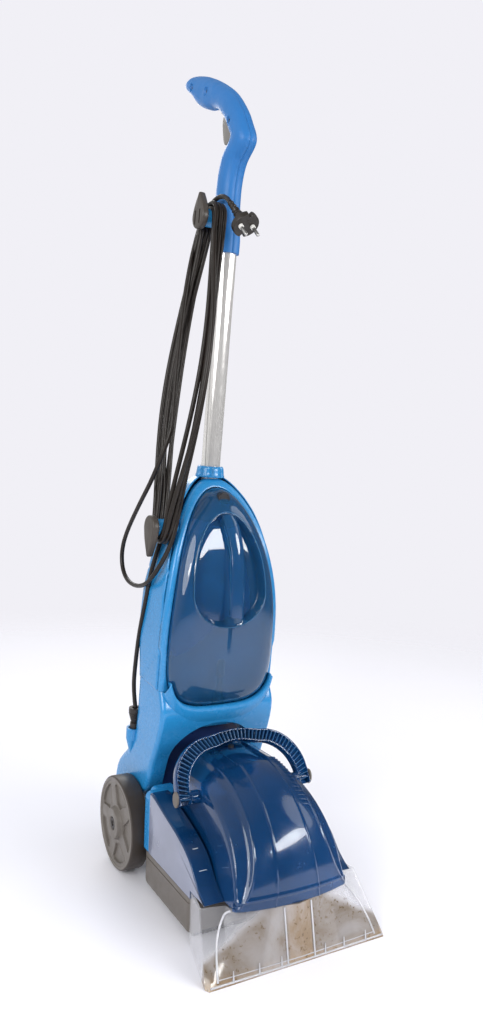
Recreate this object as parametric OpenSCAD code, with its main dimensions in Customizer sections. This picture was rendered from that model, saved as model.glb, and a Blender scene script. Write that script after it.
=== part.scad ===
// Upright carpet washer: a wheeled base with a lift-out dirty water tank and a clear suction
// nozzle, and a reclining upright with the clean water tank, motor, tube, handle and cord hooks.
// Millimetres, +Z up, front towards -Y. The origin is on the floor under the middle of the machine.

/* [Base] */
// Half the width of the base over the tank tub
base_half_w = 105.7; // [98:0.1:110]
// Height of the grey pan's underside above the floor
pan_bottom = 11; // [8:0.5:14]
// Height of the seam between the grey pan and the parts on it
pan_top = 56; // [52:0.5:60]
// Distance from the wheel axle forwards to the pan's front face
pan_reach = 212; // [206:1:218]
// Wall of the moulded base parts
base_wall = 3; // [2.5:0.1:4]
// Height of the blue shoulders beside the upright's arms
shoulder_top = 135; // [128:1:138]
// Distance from the axle forwards to the front face of the shoulders
shoulder_front = 85; // [82:1:88]

/* [Wheels] */
// Radius of the wheels
wheel_r = 65; // [60:0.5:68]
// Width of a wheel's tread
wheel_w = 27; // [22:0.5:28]
// Half the width over both wheel faces
wheel_face = 121.8; // [121:0.1:126]
// How far the hub stands out of the wheel's face
hub_proud = 5; // [3:0.5:6]
// Radius of the wheel axle
axle_r = 5; // [4:0.25:6]
// Radial running clearance between a bore and the shaft in it
run_gap = 0.08; // [0.05:0.01:0.1]

/* [Nozzle] */
// Half the width of the nozzle at the floor
nozzle_half_w = 126; // [118:1:130]
// Distance from the axle forwards to the nozzle's lip
nozzle_reach = 300.5; // [292:0.5:306]
// Height of the nozzle's upper edge
nozzle_top = 66; // [62:0.5:70]
// Wall of the clear mouldings
nozzle_wall = 2.2; // [1.8:0.1:3]
// Width of the slot that the dirty water rises through
channel_gap = 8; // [6:0.5:9]

/* [Dirty tank] */
// Half the width of the raised middle of the tank at its foot
hood_foot_w = 79; // [74:0.5:82]
// Half the width of the raised middle of the tank at its crown
hood_crown_w = 70; // [62:0.5:73]
// Radius of the hood's curved front
hood_r = 136.5; // [132:0.5:140]
// Distance from the axle forwards to the centre of the hood's curve
hood_y = 154; // [150:1:158]
// Wall of the tank mouldings
tank_wall = 2.5; // [2:0.1:3.5]
// Distance from the axle forwards to the bail's pivot
bail_y = 157; // [152:0.5:162]
// Height of the bail's pivot
bail_z = 155.5; // [150:0.5:160]
// Half the width over the bail's bar
bail_half_w = 100; // [96:0.5:104]
// Width of the bail's bar
bail_bar = 17; // [14:0.5:18]

/* [Upright body] */
// Lean of the upright towards the front when it is parked
lean = 5.3; // [3:0.1:7]
// Half the width of the body at its widest
body_half_w = 92.4; // [88:0.2:92.4]
// Distance from the axle forwards to the body's front face
body_front = 51.3; // [48:0.1:54]
// Distance from the axle back to the body's rear face
body_rear = 61.5; // [56:0.5:66]
// Height of the shell's seam above the axle
seam_z = 210; // [200:1:216]
// Height of the top of the shell above the axle
shell_top = 503; // [497:1:509]
// Wall of the upright's shells
shell_wall = 3; // [2.5:0.1:3.5]
// Half the width of the clean tank's outline
egg_half_w = 82; // [78:0.5:84]
// Height of the widest place of the clean tank above the axle
egg_mid = 271; // [265:1:277]
// Height of the clean tank's outline above its widest place
egg_up = 218.6; // [212:0.2:222]
// Depth of the clean tank's outline below its widest place
egg_down = 85; // [80:1:90]
// How far the clean tank's face bulges out of its rim
egg_bulge = 24; // [16:1:28]

/* [Tube and handle] */
// Distance of the tube's axis behind the axle, along the upright
tube_y = 22; // [20:0.5:24]
// Outer diameter of the tube
tube_d = 27.5; // [25:0.5:28]
// Wall of the tube
tube_wall = 1.2; // [0.8:0.1:2]
// Height of the handle's lower end above the axle
handle_z = 820; // [780:1:860]
// Half the width of the handle
handle_half_w = 16; // [15.8:0.1:18]
// Wall of the handle's shells
handle_wall = 2.05; // [1.6:0.05:2.1]

/* [Cord] */
// Diameter of the mains cord
cord_d = 6.4; // [5.5:0.1:7]
// Length of each hook's post between the body and the plate
post_len = 28; // [26:0.5:31]
// Radius of a hook's post
post_r = 12; // [10:0.5:13]
// Thickness of a hook's plate
plate_t = 10; // [8:0.5:12]

/* [Hidden] */

axle_z = wheel_r;
grip_end = 92;
axle_y = (nozzle_reach - grip_end) / 2;
seat_gap = 0.3;
wheel_in = wheel_face - wheel_w;
brush_front = -pan_reach + 8;
brush_w = 12;
screw_front = brush_front + brush_w + 8;
hub_r = 21;
boss_r = axle_r + 5;
arm_out = wheel_in - 2.4;
arm_in = 67;
tub_floor = pan_top + seat_gap;
tub_front = 250;
lip_half_w = 113;
hood_side = hood_foot_w + seat_gap;
ring_t = 12;
rim_start = 310;
rim_r = 348;
col_r = 18.25;
col_top = shell_top + 16;
tube_low = 470;
tube_high = handle_z + 18;
egg_back = 8;
egg_deep = 14;
hook_up_z = 861;
hook_up_y = 14;
hook_low_z = 433;
hook_low_y = -12;
button_z = egg_mid + egg_up - 13;
motor_z = 66;
motor_r = 34;
motor_y = 6;
cover_y = -33;
duct_z = 112;
deck_z = 205;
arch_spring = 108;
arch_rise = 53;
arch_back = 18;
spigot_r = 5;
rod_r = 1.5;
valve_y = -45;
grom_x = -88;
grom_y = 33;
grom_z = 126;
boss_out = 11.5;

clear_blue = "#1d4a8a";
body_blue = "#3f8fdc";
taupe = "#77716a";
cord_black = "#2a2521";

blues = 0.55;

// ---------- shared shapes ----------

// Places its children in the base's own frame: y measured from the wheel axle
module in_base() translate([0, axle_y, 0]) children();

// Places its children in the upright's leaning frame: y and z measured from the wheel axle
module in_upright() translate([0, axle_y, axle_z]) rotate([lean, 0, 0]) children();

// A cylinder whose axis runs along X
module rod_x(r, x0, x1, fn = 48) translate([x0, 0, 0]) rotate([0, 90, 0])
    cylinder(r = r, h = x1 - x0, $fn = fn);

// A plate between x0 and x1 whose outline is given in y and z
module plate_yz(pts, x0, x1) translate([x0, 0, 0]) rotate([90, 0, 90]) linear_extrude(x1 - x0) polygon(pts);

// A plate between y0 and y1 whose outline is given in x and z
module plate_xz(pts, y0, y1) translate([0, y1, 0]) rotate([90, 0, 0]) linear_extrude(y1 - y0) polygon(pts);

// Side faces between m rings of n points
function ring_sides(m, n) = [for (i = [0 : m - 2], j = [0 : n - 1], k = [0, 1])
    let (a = i * n + j, b = i * n + (j + 1) % n)
    k == 0 ? [a, b + n, b] : [a, a + n, b + n]];

// A closed solid through a row of flat rings with the same count of points, each ring
// anticlockwise about the direction from the first ring to the last
module loft(rings) {
    n = len(rings[0]);
    m = len(rings);
    caps = [[for (j = [0 : n - 1]) j], [for (j = [n - 1 : -1 : 0]) (m - 1) * n + j]];
    polyhedron([for (r = rings, p = r) p], concat(ring_sides(m, n), caps), convexity = 6);
}

// The same through C-shaped rings: the outer points in order, then the inner ones back
module strip_loft(rings) {
    n = len(rings[0]);
    m = len(rings);
    ends = [for (e = [0, m - 1], j = [0 : n / 2 - 2], k = [0, 1]) let (
            b = e * n,
            t = k == 0 ? [b + j, b + j + 1, b + n - 2 - j] : [b + j, b + n - 2 - j, b + n - 1 - j])
        e == 0 ? t : [t[2], t[1], t[0]]];
    polyhedron([for (r = rings, p = r) p], concat(ring_sides(m, n), ends), convexity = 8);
}

// The middle of a ring's points
function middle(r) = [for (p = r) 1] * r / len(r);

// The same through rings that bend out of a plane: each end is a fan round its middle
module bent_loft(rings) {
    n = len(rings[0]);
    m = len(rings);
    ends = [for (j = [0 : n - 1], k = [0, 1]) k == 0
        ? [m * n, j, (j + 1) % n]
        : [m * n + 1, (m - 1) * n + (j + 1) % n, (m - 1) * n + j]];
    polyhedron(concat([for (r = rings, p = r) p], [middle(rings[0]), middle(rings[m - 1])]),
        concat(ring_sides(m, n), ends), convexity = 6);
}

// A ring taken the other way round
function turned(r) = [for (j = [len(r) - 1 : -1 : 0]) r[j]];

// Straight-line interpolation in a table of [z, value] rows
function at(t, z, i = 0) = i >= len(t) - 2 || z <= t[i + 1][0]
    ? t[i][1] + (t[i + 1][1] - t[i][1]) * (z - t[i][0]) / (t[i + 1][0] - t[i][0])
    : at(t, z, i + 1);

// Front plane of the upright: straight, then curving back towards the top
function rim_y(z) = -body_front + (z < rim_start ? 0 : rim_r - sqrt(rim_r * rim_r - pow(z - rim_start, 2)));

// Half width of an egg outline at height z: an ellipse above its widest place, squarer below
function egg_w(z, w, up, down, mid = egg_mid) = z > mid
    ? w * sqrt(max(0, 1 - pow((z - mid) / up, 2)))
    : w * pow(max(0, 1 - pow((mid - z) / down, 3.5)), 1 / 3.5);

// Closed egg outline in x and z, each height taken once per side
function egg_outline(w, up, down, n = 26) = let (
        hs = [for (i = [0 : n]) egg_mid - down + (up + down) * (1 - cos(180 * i / n)) / 2])
    concat([for (z = hs) [egg_w(z, w, up, down), z]],
        [for (i = [n - 1 : -1 : 1]) [-egg_w(hs[i], w, up, down), hs[i]]]);

// Plan ring of the upright's shell: flat front, straight sides, round rear corners
function plan(z, w, front, rear, r, n = 7) = concat(
    [[w, front, z]],
    [for (i = [0 : n]) let (a = 90 * i / n) [w - r + r * cos(a), rear - r + r * sin(a), z]],
    [for (i = [0 : n]) let (a = 90 + 90 * i / n) [-w + r + r * cos(a), rear - r + r * sin(a), z]],
    [[-w, front, z]]);

// ---------- upright profiles: half width, front and rear against height ----------

side_t = [[-20, arm_out], [88, arm_out], [seam_z, body_half_w - 3.4], [340, body_half_w - 4.4],
    [394, 79], [433, 68.4], [455, 60], [475, 48], [490, 35], [shell_top, 21]];
rear_t = [[-20, 60], [18, 92], [48, 88], [75, 70], [98, 50], [123, 43], [160, 43],
    [seam_z, 47], [262, 57], [290, body_rear], [340, 57], [394, 53], [shell_top, 48]];
front_t = [[-20, 2], [10, 10], [25, 4], [47, -18], [60, -30], [75, -36], [92, -40], [115, -48],
    [141, -57], [164, -63], [185, -65], [seam_z, -body_front]];

// Radius of the lower body's rear corners
round_t = [[-20, 12], [61, 14], [98, 30], [115, 34], [seam_z, 34]];

pan_screws = [for (x = [-80, 80], y = [screw_front, -95]) [x, y]];
function corner(z) = min(38 - (z > 400 ? (z - 400) / 6 : 0), at(side_t, z) - 6);
low_face = at(side_t, hook_low_z);
switch_z = 432;
switch_half = 8.7;
switch_pin = 1.2;
switch_y = at(rear_t, switch_z) - 1.5;
shell_screw_r = 3.5;
wheel_clear = wheel_r + 3;
bail_seat = hood_foot_w + seat_gap
    - (hood_foot_w - hood_crown_w) * (bail_z - nozzle_top - seat_gap) / hood_r;
hood_top = nozzle_top + seat_gap + hood_r;
shell_heights = [for (i = [0 : 9]) seam_z + (shell_top - seam_z) * i / 9];
yoke_heights = [18, 25, 36, 48, 61, 75, 92, 98, 115, 123, 141, 160, 164, 185, seam_z];

function shell_rings(inset, hs, front) = [for (z = hs)
    plan(z, at(side_t, z) - inset, front, at(rear_t, z) - inset, corner(z) - inset / 2)];
function yoke_rings(inset) = [for (z = yoke_heights)
    plan(z, at(side_t, z) - inset, at(front_t, z) + inset, at(rear_t, z) - inset, at(round_t, z))];

// The space in front of the rim's curve, where the ring and the tank sit
module rim_space(off, x = 120) plate_yz(concat(
    [for (z = [seam_z - 60 : 14 : shell_top + 40]) [rim_y(z) + off, z]],
    [[-200, shell_top + 40], [-200, seam_z - 60]]), -x, x);

// Opening between the arms, for the dirty tank
module arch_cut() {
    plate_xz(concat([[arm_in, 0], [arm_in, arch_spring]],
        [for (a = [0 : 10 : 180]) [arm_in * cos(a), arch_spring + arch_rise * sin(a)]],
        [[-arm_in, arch_spring], [-arm_in, 0]]), -120, arch_back);
}

// ---------- base ----------

module base_pan() color(taupe) in_base() difference() {
    union() {
        translate([-base_half_w, -pan_reach, pan_bottom])
            cube([2 * base_half_w, pan_reach - 72, pan_top - pan_bottom]);
        translate([-61, -73, pan_bottom]) cube([122, 95, pan_top - pan_bottom]);
        translate([0, 0, axle_z]) rod_x(14, -61, 61);
        translate([-61, -14, pan_top - 10]) cube([122, 28, axle_z - pan_top + 10]);
    }
    translate([base_wall - base_half_w, base_wall - pan_reach, pan_bottom + base_wall])
        cube([2 * (base_half_w - base_wall), pan_reach - 72 - 2 * base_wall, pan_top]);
    translate([base_wall - 61, -80, pan_bottom + base_wall])
        cube([122 - 2 * base_wall, 60, pan_top]);
    translate([0, 0, axle_z]) rod_x(axle_r + run_gap, -62, 62);
    for (p = pan_screws) translate([p[0], p[1], pan_bottom - 1]) cylinder(r = 2.1, h = 10, $fn = 24);
}

module base_screws() color("silver") in_base() for (p = pan_screws)
    translate([p[0], p[1], pan_bottom - 2]) {
        cylinder(r = 3.6, h = 1.9, $fn = 24);
        cylinder(r = 1.9, h = 8, $fn = 24);
    }

// Blue shoulders beside the arms: full width ahead of the wheels, narrower between them
module base_cover() color(body_blue) in_base()
    for (s = [-1, 1]) mirror([s > 0 ? 0 : 1, 0, 0]) difference() {
    union() {
        shoulder(base_half_w, -shoulder_front, -wheel_clear);
        shoulder(arm_out + 1, -wheel_clear - 1, -wheel_clear + 12);
    }
    translate([65, base_wall - shoulder_front, pan_top - 1])
        cube([base_half_w - base_wall - 65, shoulder_front - wheel_clear - 2 * base_wall + 1,
            shoulder_top - pan_top - base_wall - 5]);
}

module shoulder(w, y0, y1) plate_xz([[w, pan_top], [w, shoulder_top - 6], [w - 6, shoulder_top],
    [62, shoulder_top], [62, pan_top]], y0, y1);

module wheel_axle() color("silver") in_base() translate([0, 0, axle_z])
    rod_x(axle_r, -wheel_face - 2, wheel_face + 2);

module axle_clips() color("dimgray") in_base() translate([0, 0, axle_z]) for (s = [-1, 1])
    translate([s * (wheel_face + 0.7), 0, 0]) difference() {
        rod_x(axle_r + 3, -0.5, 0.5);
        rod_x(axle_r, -1, 1);
    }

module brush_strip() color("#26282b") in_base() {
    half = base_half_w - 10.7;
    translate([-half, brush_front, pan_bottom - 5]) cube([2 * half, brush_w, 4.7]);
    for (k = [0 : 23]) translate([-half + 3 + k * (2 * half - 6) / 23, brush_front + brush_w / 2, 1])
        cylinder(r = 2.6, h = pan_bottom - 6, $fn = 16);
}

module spray_bar() color("#3b3d40") in_base() {
    half = base_half_w * 0.57;
    translate([-half, brush_front + brush_w + 2, pan_bottom - 4.7]) cube([2 * half, 9, 4.4]);
    for (x = [-0.75, 0, 0.75] * half) translate([x, brush_front + brush_w + 6.5, pan_bottom - 7])
        cylinder(r = 3, h = 2.3, $fn = 24);
}

// Outline of the nozzle in x and y at the share s of its height, as matching points
function nozzle_mix(a, b, s) = a + (b - a) * s;
function nozzle_ring(s, inset, n = 6) = let (
        z = nozzle_top * s,
        rear = -pan_reach - seat_gap,
        side = nozzle_mix([nozzle_half_w, -nozzle_reach + 5], [lip_half_w, -tub_front], s),
        turn = nozzle_mix([nozzle_half_w - 3, -nozzle_reach], [hood_foot_w + 3, -tub_front - 8], s),
        edge = nozzle_mix([hood_foot_w, -nozzle_reach], [hood_foot_w, -tub_front - 22], s),
        mid = nozzle_mix([0, -nozzle_reach], [0, -hood_y - hood_r - 1], s),
        half = concat([for (p = [side, turn]) [p[0] - inset, p[1] + inset]],
            [for (k = [0 : n - 1]) let (p = nozzle_mix(edge, mid, k / n))
                [p[0] - inset * (1 - k / n), p[1] + inset]]))
    concat([[base_half_w - 1 - inset, rear, z]],
        [for (p = half) [p[0], p[1], z]],
        [[mid[0], mid[1] + inset, z]],
        [for (k = [len(half) - 1 : -1 : 0]) [-half[k][0], half[k][1], z]],
        [[1 + inset - base_half_w, rear, z]]);
nozzle_steps = 6;

module nozzle_shape(inset)
    loft([for (k = [0 : nozzle_steps]) turned(nozzle_ring(k / nozzle_steps, inset))]);

module nozzle_front() color("#dfe6ea", 0.45) in_base() strip_loft([for (k = [0 : nozzle_steps])
    concat(turned(nozzle_ring(k / nozzle_steps, 0)), nozzle_ring(k / nozzle_steps, nozzle_wall))]);

// Rear wall of the flow channel, a leaning plate that closes the nozzle from side to side
module nozzle_back() color("#dfe6ea", 0.45) in_base() intersection() {
    foot = nozzle_wall + channel_gap - nozzle_reach;
    head = foot + (nozzle_reach - hood_y - hood_r) + 16;
    plate_yz([[foot, 2], [foot + nozzle_wall, 2], [head + nozzle_wall, nozzle_top - 6],
        [head, nozzle_top - 6]], -nozzle_half_w, nozzle_half_w);
    nozzle_shape(nozzle_wall + 3 * seat_gap);
}

// ---------- wheels ----------

module wheel(s) in_base() translate([0, 0, axle_z]) mirror([s > 0 ? 0 : 1, 0, 0])
    difference() {
        union() {
            rod_x(wheel_r, wheel_in, wheel_face, 96);
            rod_x(hub_r, wheel_face - 1, wheel_face + hub_proud, 64);
        }
        rod_x(axle_r + run_gap, wheel_in - 1, wheel_face + hub_proud + 1);
        translate([wheel_in - 1, 0, 0]) rotate([0, 90, 0]) difference() {
            cylinder(r = wheel_r - 5, h = wheel_w - 4, $fn = 96);
            cylinder(r = boss_r, h = wheel_w, $fn = 48);
            for (k = [0 : 4]) rotate(72 * k) translate([0, -1.5, 0]) cube([wheel_r, 3, wheel_w]);
        }
        for (k = [0 : 4]) rotate([72 * k, 0, 0]) translate([wheel_face - 2, 0, 30])
            rotate([0, 90, 0]) linear_extrude(4) polygon([[-22, -14], [-22, 14], [6, 5], [6, -5]]);
        rod_x(axle_r + 3.4, wheel_face - 0.1, wheel_face + hub_proud + 1);
    }

module left_wheel() color(taupe) wheel(-1);
module right_wheel() color(taupe) wheel(1);

module hub_cap(s) in_base() translate([0, 0, axle_z]) mirror([s > 0 ? 0 : 1, 0, 0]) difference() {
    rod_x(axle_r + 3.1, wheel_face + 1.6, wheel_face + hub_proud - 0.6);
    rod_x(axle_r + 0.5, wheel_face + 1, wheel_face + 2.4);
    rod_x(3.4, wheel_face + 2.2, wheel_face + hub_proud + 1);
}

module left_hub_cap() color("#1f1c1a") hub_cap(-1);
module right_hub_cap() color("#1f1c1a") hub_cap(1);

// ---------- dirty tank ----------

// Side outline of the tub's lobes in y and z
function tub_side(i) = [[-shoulder_front - seat_gap - i, tub_floor + i],
    [-shoulder_front - seat_gap - i, shoulder_top + 3 - i], [-97, shoulder_top + 2 - i],
    [-131, 128 - i], [-173, 117 - i], [-205, 103 - i], [-228 + i, 81],
    [-tub_front + i, nozzle_top + i + seat_gap],
    [-pan_reach, nozzle_top + i + seat_gap], [-pan_reach, tub_floor + i]];

module tank_tub() color(clear_blue, blues) in_base() difference() {
    plate_yz(tub_side(0), -base_half_w, base_half_w);
    plate_yz(tub_side(tank_wall), tank_wall - base_half_w, -hood_side - tank_wall);
    plate_yz(tub_side(tank_wall), hood_side + tank_wall, base_half_w - tank_wall);
    translate([-hood_side, -320, tub_floor + tank_wall]) cube([2 * hood_side, 320, 120]);
    translate([-60, -tub_front - 20, tub_floor + 1]) cube([120, 40, 50]);
}

// How far the hood's crown falls from its middle to its sides, and how far its front rounds back
hood_fall = 28;
hood_round = 11;

// Side outline of the hood in y and z at the fraction s of its half width, inset by i
function hood_ring(s, i) = let (
        c = hood_round * s * s, r = hood_r - i, foot = nozzle_top + seat_gap,
        rear = -shoulder_front - seat_gap - i,
        high = r - hood_fall * s * s,
        pts = concat([for (a = [0 : 9 : 90]) [-hood_y - (r - c) * cos(a), foot + max(i / 2, high * sin(a))]],
            [[rear, foot + high], [rear, foot + i / 2]]))
    [for (p = pts)
        [s * (hood_foot_w - i - (hood_foot_w - hood_crown_w) * (p[1] - foot) / hood_r), p[0], p[1]]];

module tank_hood() color(clear_blue, blues) in_base() difference() {
    loft([for (k = [-4 : 4]) turned(hood_ring(k / 4, 0))]);
    loft([for (k = [-4 : 4]) turned(hood_ring(k / 4, tank_wall))]);
    translate([-50, -150, nozzle_top - 5]) cube([100, 45, 12]);
}

module tank_gasket() color("#20242a") in_base() difference() {
    translate([-hood_foot_w + 8, -200, tub_floor + tank_wall + 0.2]) cube([2 * hood_foot_w - 16, 105, 5]);
    translate([-hood_foot_w + 13, -195, tub_floor + tank_wall - 1]) cube([2 * hood_foot_w - 26, 95, 9]);
}

// Float that rises with the water and shuts the suction port under the hood's crown
module float_ball() color("#d8d2c4") in_base() translate([0, -115, 150]) {
    sphere(r = 15, $fn = 40);
    translate([0, 0, 10]) cylinder(r = 4, h = hood_top - tank_wall - 3 * seat_gap - 160, $fn = 32);
}

module tank_latch() color("#3c3a3a") in_base() translate([-19, -shoulder_front - 14, hood_top + seat_gap])
    cube([38, 12, 5]);

// Bail in its own plane: a round-cornered arch from the pivots, leaning back
bail_lean = 32;
bail_rise = 68;
bail_round = 55;
module in_bail() in_base() translate([0, -bail_y, bail_z]) rotate([-bail_lean, 0, 0]) children();

module tank_bail() color(clear_blue, blues) in_bail() {
    r = bail_round;
    w = bail_half_w - bail_bar;
    difference() {
        union() {
            plate_xz(concat([[bail_half_w, -9]],
                [for (a = [0 : 15 : 90]) [bail_half_w - r + r * cos(a), bail_rise - r + 4 + r * sin(a)]],
                [[0, bail_rise + 9]],
                [for (a = [90 : 15 : 180]) [r - bail_half_w + r * cos(a), bail_rise - r + 4 + r * sin(a)]],
                [[-bail_half_w, -9], [-w, -9]],
                [for (a = [180 : -15 : 90])
                    [r - 10 - w + (r - 10) * cos(a), bail_rise - r - 2 + (r - 10) * sin(a)]],
                [[0, bail_rise - 5]],
                [for (a = [90 : -15 : 0])
                    [w - r + 10 + (r - 10) * cos(a), bail_rise - r - 2 + (r - 10) * sin(a)]],
                [[w, -9]]), -6, 6);
        }
        rod_x(4 + run_gap, -bail_half_w - 1, bail_half_w + 1);
    }
}

// Stub axles on the hood carry the bail, closed by the oval caps
module bail_caps() color("#8d8378") in_base() translate([0, -bail_y, bail_z]) for (s = [-1, 1]) {
    mirror([s > 0 ? 0 : 1, 0, 0]) {
        rod_x(4, bail_seat, bail_half_w + 0.4, 40);
        rod_x(10.5, bail_half_w + 0.4, bail_half_w + 3.4, 48);
    }
}

// ---------- upright ----------

module yoke_solid() difference() {
    loft(yoke_rings(0));
    arch_cut();
}

module yoke_cavity() difference() {
    loft(yoke_rings(shell_wall));
    for (s = [-1, 1]) translate([s * (arm_in + 1.5) - 1.5, -130, -30]) cube([3, 140, 160]);
}

// The part of the body that the rear cover closes
module cover_zone(g) translate([-140, 21 + g, 75 + g]) cube([280, 140, seam_z - 75]);

module yoke() color(body_blue) in_upright() difference() {
    union() {
        difference() {
            yoke_solid();
            yoke_cavity();
            cover_zone(0);
        }
        chin();
        deck();
        for (s = [-1, 1]) mirror([s > 0 ? 0 : 1, 0, 0]) difference() {
            union() {
                rod_x(16, arm_in, arm_out, 64);
                translate([arm_in, -6, 0]) cube([arm_out - arm_in, 22, 30]);
            }
        }
    }
    rod_x(axle_r + run_gap, -arm_out - 5, arm_out + 5);
    plate_xz(egg_outline(egg_half_w + 1, egg_up, egg_down + 1), -body_front - 40,
        egg_deep + egg_back + 1 - body_front);
}

// Bowl that carries the clean tank's lower edge
module chin() difference() {
    plate_xz(egg_outline(egg_half_w - 1, egg_up, egg_down + 24), -body_front - 13, -body_front + 24);
    plate_xz(egg_outline(egg_half_w + 1, egg_up, egg_down + 1), -body_front - 40, -body_front + 60);
    translate([-120, -200, seam_z]) cube([240, 300, 300]);
    translate([0, valve_y, egg_mid - egg_down - 21]) cylinder(r = 14.3, h = 40, $fn = 48);
}

// Shelf over the motor that carries the pump
module deck() translate([2 - body_half_w, -20, deck_z]) cube([2 * body_half_w - 4, 38, 3]);

module rear_cover() color(body_blue) in_upright() {
    difference() {
        intersection() {
            difference() {
                yoke_solid();
                yoke_cavity();
            }
            cover_zone(0.2);
        }
        translate([grom_x, grom_y, 60]) cylinder(r = boss_out - 1, h = 100, $fn = 40);
    }
    translate([grom_x, grom_y, 0]) difference() {
        union() {
            translate([0, 0, grom_z - 34]) cylinder(r1 = 4, r2 = boss_out, h = 18, $fn = 40);
            translate([0, 0, grom_z - 16]) cylinder(r = boss_out, h = 16, $fn = 40);
        }
        translate([0, 0, grom_z - 14]) cylinder(r = 6.5, h = 20, $fn = 40);
    }
}

module rear_shell() color(body_blue) in_upright() difference() {
    loft(shell_rings(0, shell_heights, -body_front - 6));
    loft(shell_rings(shell_wall, concat([seam_z - 1], [for (i = [1 : 8]) shell_heights[i]],
        [shell_top - shell_wall]), -body_front - 9));
    rim_space(ring_t + 0.2);
    translate([0, tube_y, shell_top - 20]) cylinder(r = tube_d / 2 + 0.2, h = 40, $fn = 64);
    translate([-switch_half - seat_gap, at(rear_t, switch_z) - 12, switch_z - 12])
        cube([2 * (switch_half + seat_gap), 20, 24]);
    translate([0, switch_y, switch_z]) rod_x(switch_pin + run_gap, -switch_half - 3, switch_half + 3, 32);
    shell_screw_places() cylinder(r = shell_screw_r + seat_gap, h = 30, center = true, $fn = 24);
}

module front_ring() color(body_blue) in_upright() difference() {
    intersection() {
        plate_xz(concat([for (z = [seam_z : 10 : egg_mid]) [body_half_w - 1, z]],
            [for (a = [0 : 6 : 90]) [(body_half_w - 1) * cos(a), egg_mid + (shell_top - egg_mid) * sin(a)]],
            [for (a = [96 : 6 : 180]) [(body_half_w - 1) * cos(a), egg_mid + (shell_top - egg_mid) * sin(a)]],
            [for (z = [egg_mid : -10 : seam_z]) [1 - body_half_w, z]]), -body_front - 20, 60);
        rim_space(ring_t);
    }
    rim_space(0, 130);
    plate_xz(egg_outline(egg_half_w + 1, egg_up + 1, egg_down + 1), -200, 100);
    translate([0, tube_y, tube_low]) cylinder(r = tube_d / 2 + 0.2, h = 60, $fn = 64);
}

// Where the four screws stand in the rear shell, each with its axis along Z
module shell_screw_places() for (x = [-60, 60], z = [240, 330])
    translate([x, at(rear_t, z) - shell_wall - 4, z]) rotate([-90, 0, 0]) children();

module shell_screws() color("silver") in_upright() shell_screw_places()
    cylinder(r = shell_screw_r, h = shell_wall + 3, $fn = 24);

// Dark bulkhead between the arms, in front of the motor
module motor_cover() color("#1b2433") in_upright() difference() {
    translate([seat_gap - arm_in, cover_y, motor_z - 8]) cube([2 * (arm_in - seat_gap), 3, 88]);
    for (s = [-1, 1]) translate([s * arm_in, cover_y - 1, motor_z + 80]) rotate([0, 45, 0])
        translate([-20, 0, -20]) cube([40, 5, 40]);
    translate([0, cover_y + 4, duct_z]) rotate([90, 0, 0]) cylinder(r = 12.5, h = 6, $fn = 48);
}

module suction_duct() color("#2d2f33") in_upright()
    translate([0, cover_y - seat_gap, duct_z]) rotate([90, 0, 0]) difference() {
        cylinder(r = 14, h = 35, $fn = 48);
        translate([0, 0, -1]) cylinder(r = 12, h = 40, $fn = 48);
    }

module motor() color("#5a5e62") in_upright() translate([0, motor_y, motor_z + 36]) {
    cylinder(r = motor_r - 4, h = 42, $fn = 64);
    translate([0, 0, 42]) cylinder(r = 12, h = deck_z - motor_z - 78 - seat_gap, $fn = 40);
}

module fan_housing() color("#2d2f33") in_upright() translate([0, motor_y, motor_z]) difference() {
    cylinder(r = motor_r, h = 35.7, $fn = 72);
    translate([0, 0, -1]) cylinder(r = 16, h = 14, $fn = 48);
}

module water_pump() color("#3a3d42") in_upright() translate([-36, 0, deck_z + 3 + seat_gap]) {
    cylinder(r = 17, h = 44, $fn = 48);
    translate([0, 0, 44]) cylinder(r = 5, h = 14, $fn = 32);
}

module valve_seat() color("#2f3236") in_upright() translate([0, valve_y, egg_mid - egg_down - 13])
    difference() {
        cylinder(r = 14, h = 11, $fn = 48);
        translate([0, 0, 3]) cylinder(r = 11, h = 9, $fn = 48);
    }

module power_switch() color("#1d1d1f") in_upright() translate([0, switch_y, switch_z]) {
    translate([-switch_half, -2.5, -11.7]) cube([2 * switch_half, 5, 23.4]);
    rod_x(switch_pin, -switch_half - 2.5, switch_half + 2.5, 32);
}

module tube_collar() color(body_blue) in_upright() difference() {
    translate([0, tube_y, shell_top + 0.1]) difference() {
        union() {
            cylinder(r = col_r, h = col_top - shell_top, $fn = 64);
            for (k = [0 : 7]) rotate(45 * k + 22.5) translate([col_r - 1, -2.5, 0]) cube([2, 5, 13]);
        }
        translate([0, 0, -1]) cylinder(r = tube_d / 2 + 0.1, h = 30, $fn = 64);
    }
    screw_hole();
}

module handle_tube() color("#cfd2d6") in_upright() difference() {
    translate([0, tube_y, tube_low]) difference() {
        cylinder(d = tube_d, h = tube_high - tube_low, $fn = 72);
        translate([0, 0, -1]) cylinder(d = tube_d - 2 * tube_wall, h = tube_high - tube_low + 2, $fn = 72);
    }
    screw_hole();
}

module tube_screw() color("silver") in_upright() translate([0, tube_y, shell_top + 8])
    rotate([-90, 0, 0]) {
        translate([0, 0, tube_d / 2 - 4]) cylinder(r = 2, h = 8.6, $fn = 24);
        translate([0, 0, col_r + 0.1]) cylinder(r = 3.6, h = 2, $fn = 32);
    }

module screw_hole() translate([0, tube_y, shell_top + 8]) rotate([-90, 0, 0])
    cylinder(r = 2.2, h = 30, $fn = 24);

module rod_guide() color("#3a3d42") in_upright() translate([0, tube_y, tube_low + 70]) difference() {
    cylinder(d = tube_d - 2 * tube_wall - 0.2, h = 10, $fn = 64);
    translate([0, 0, -1]) cylinder(r = rod_r + run_gap, h = 12, $fn = 32);
}

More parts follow.
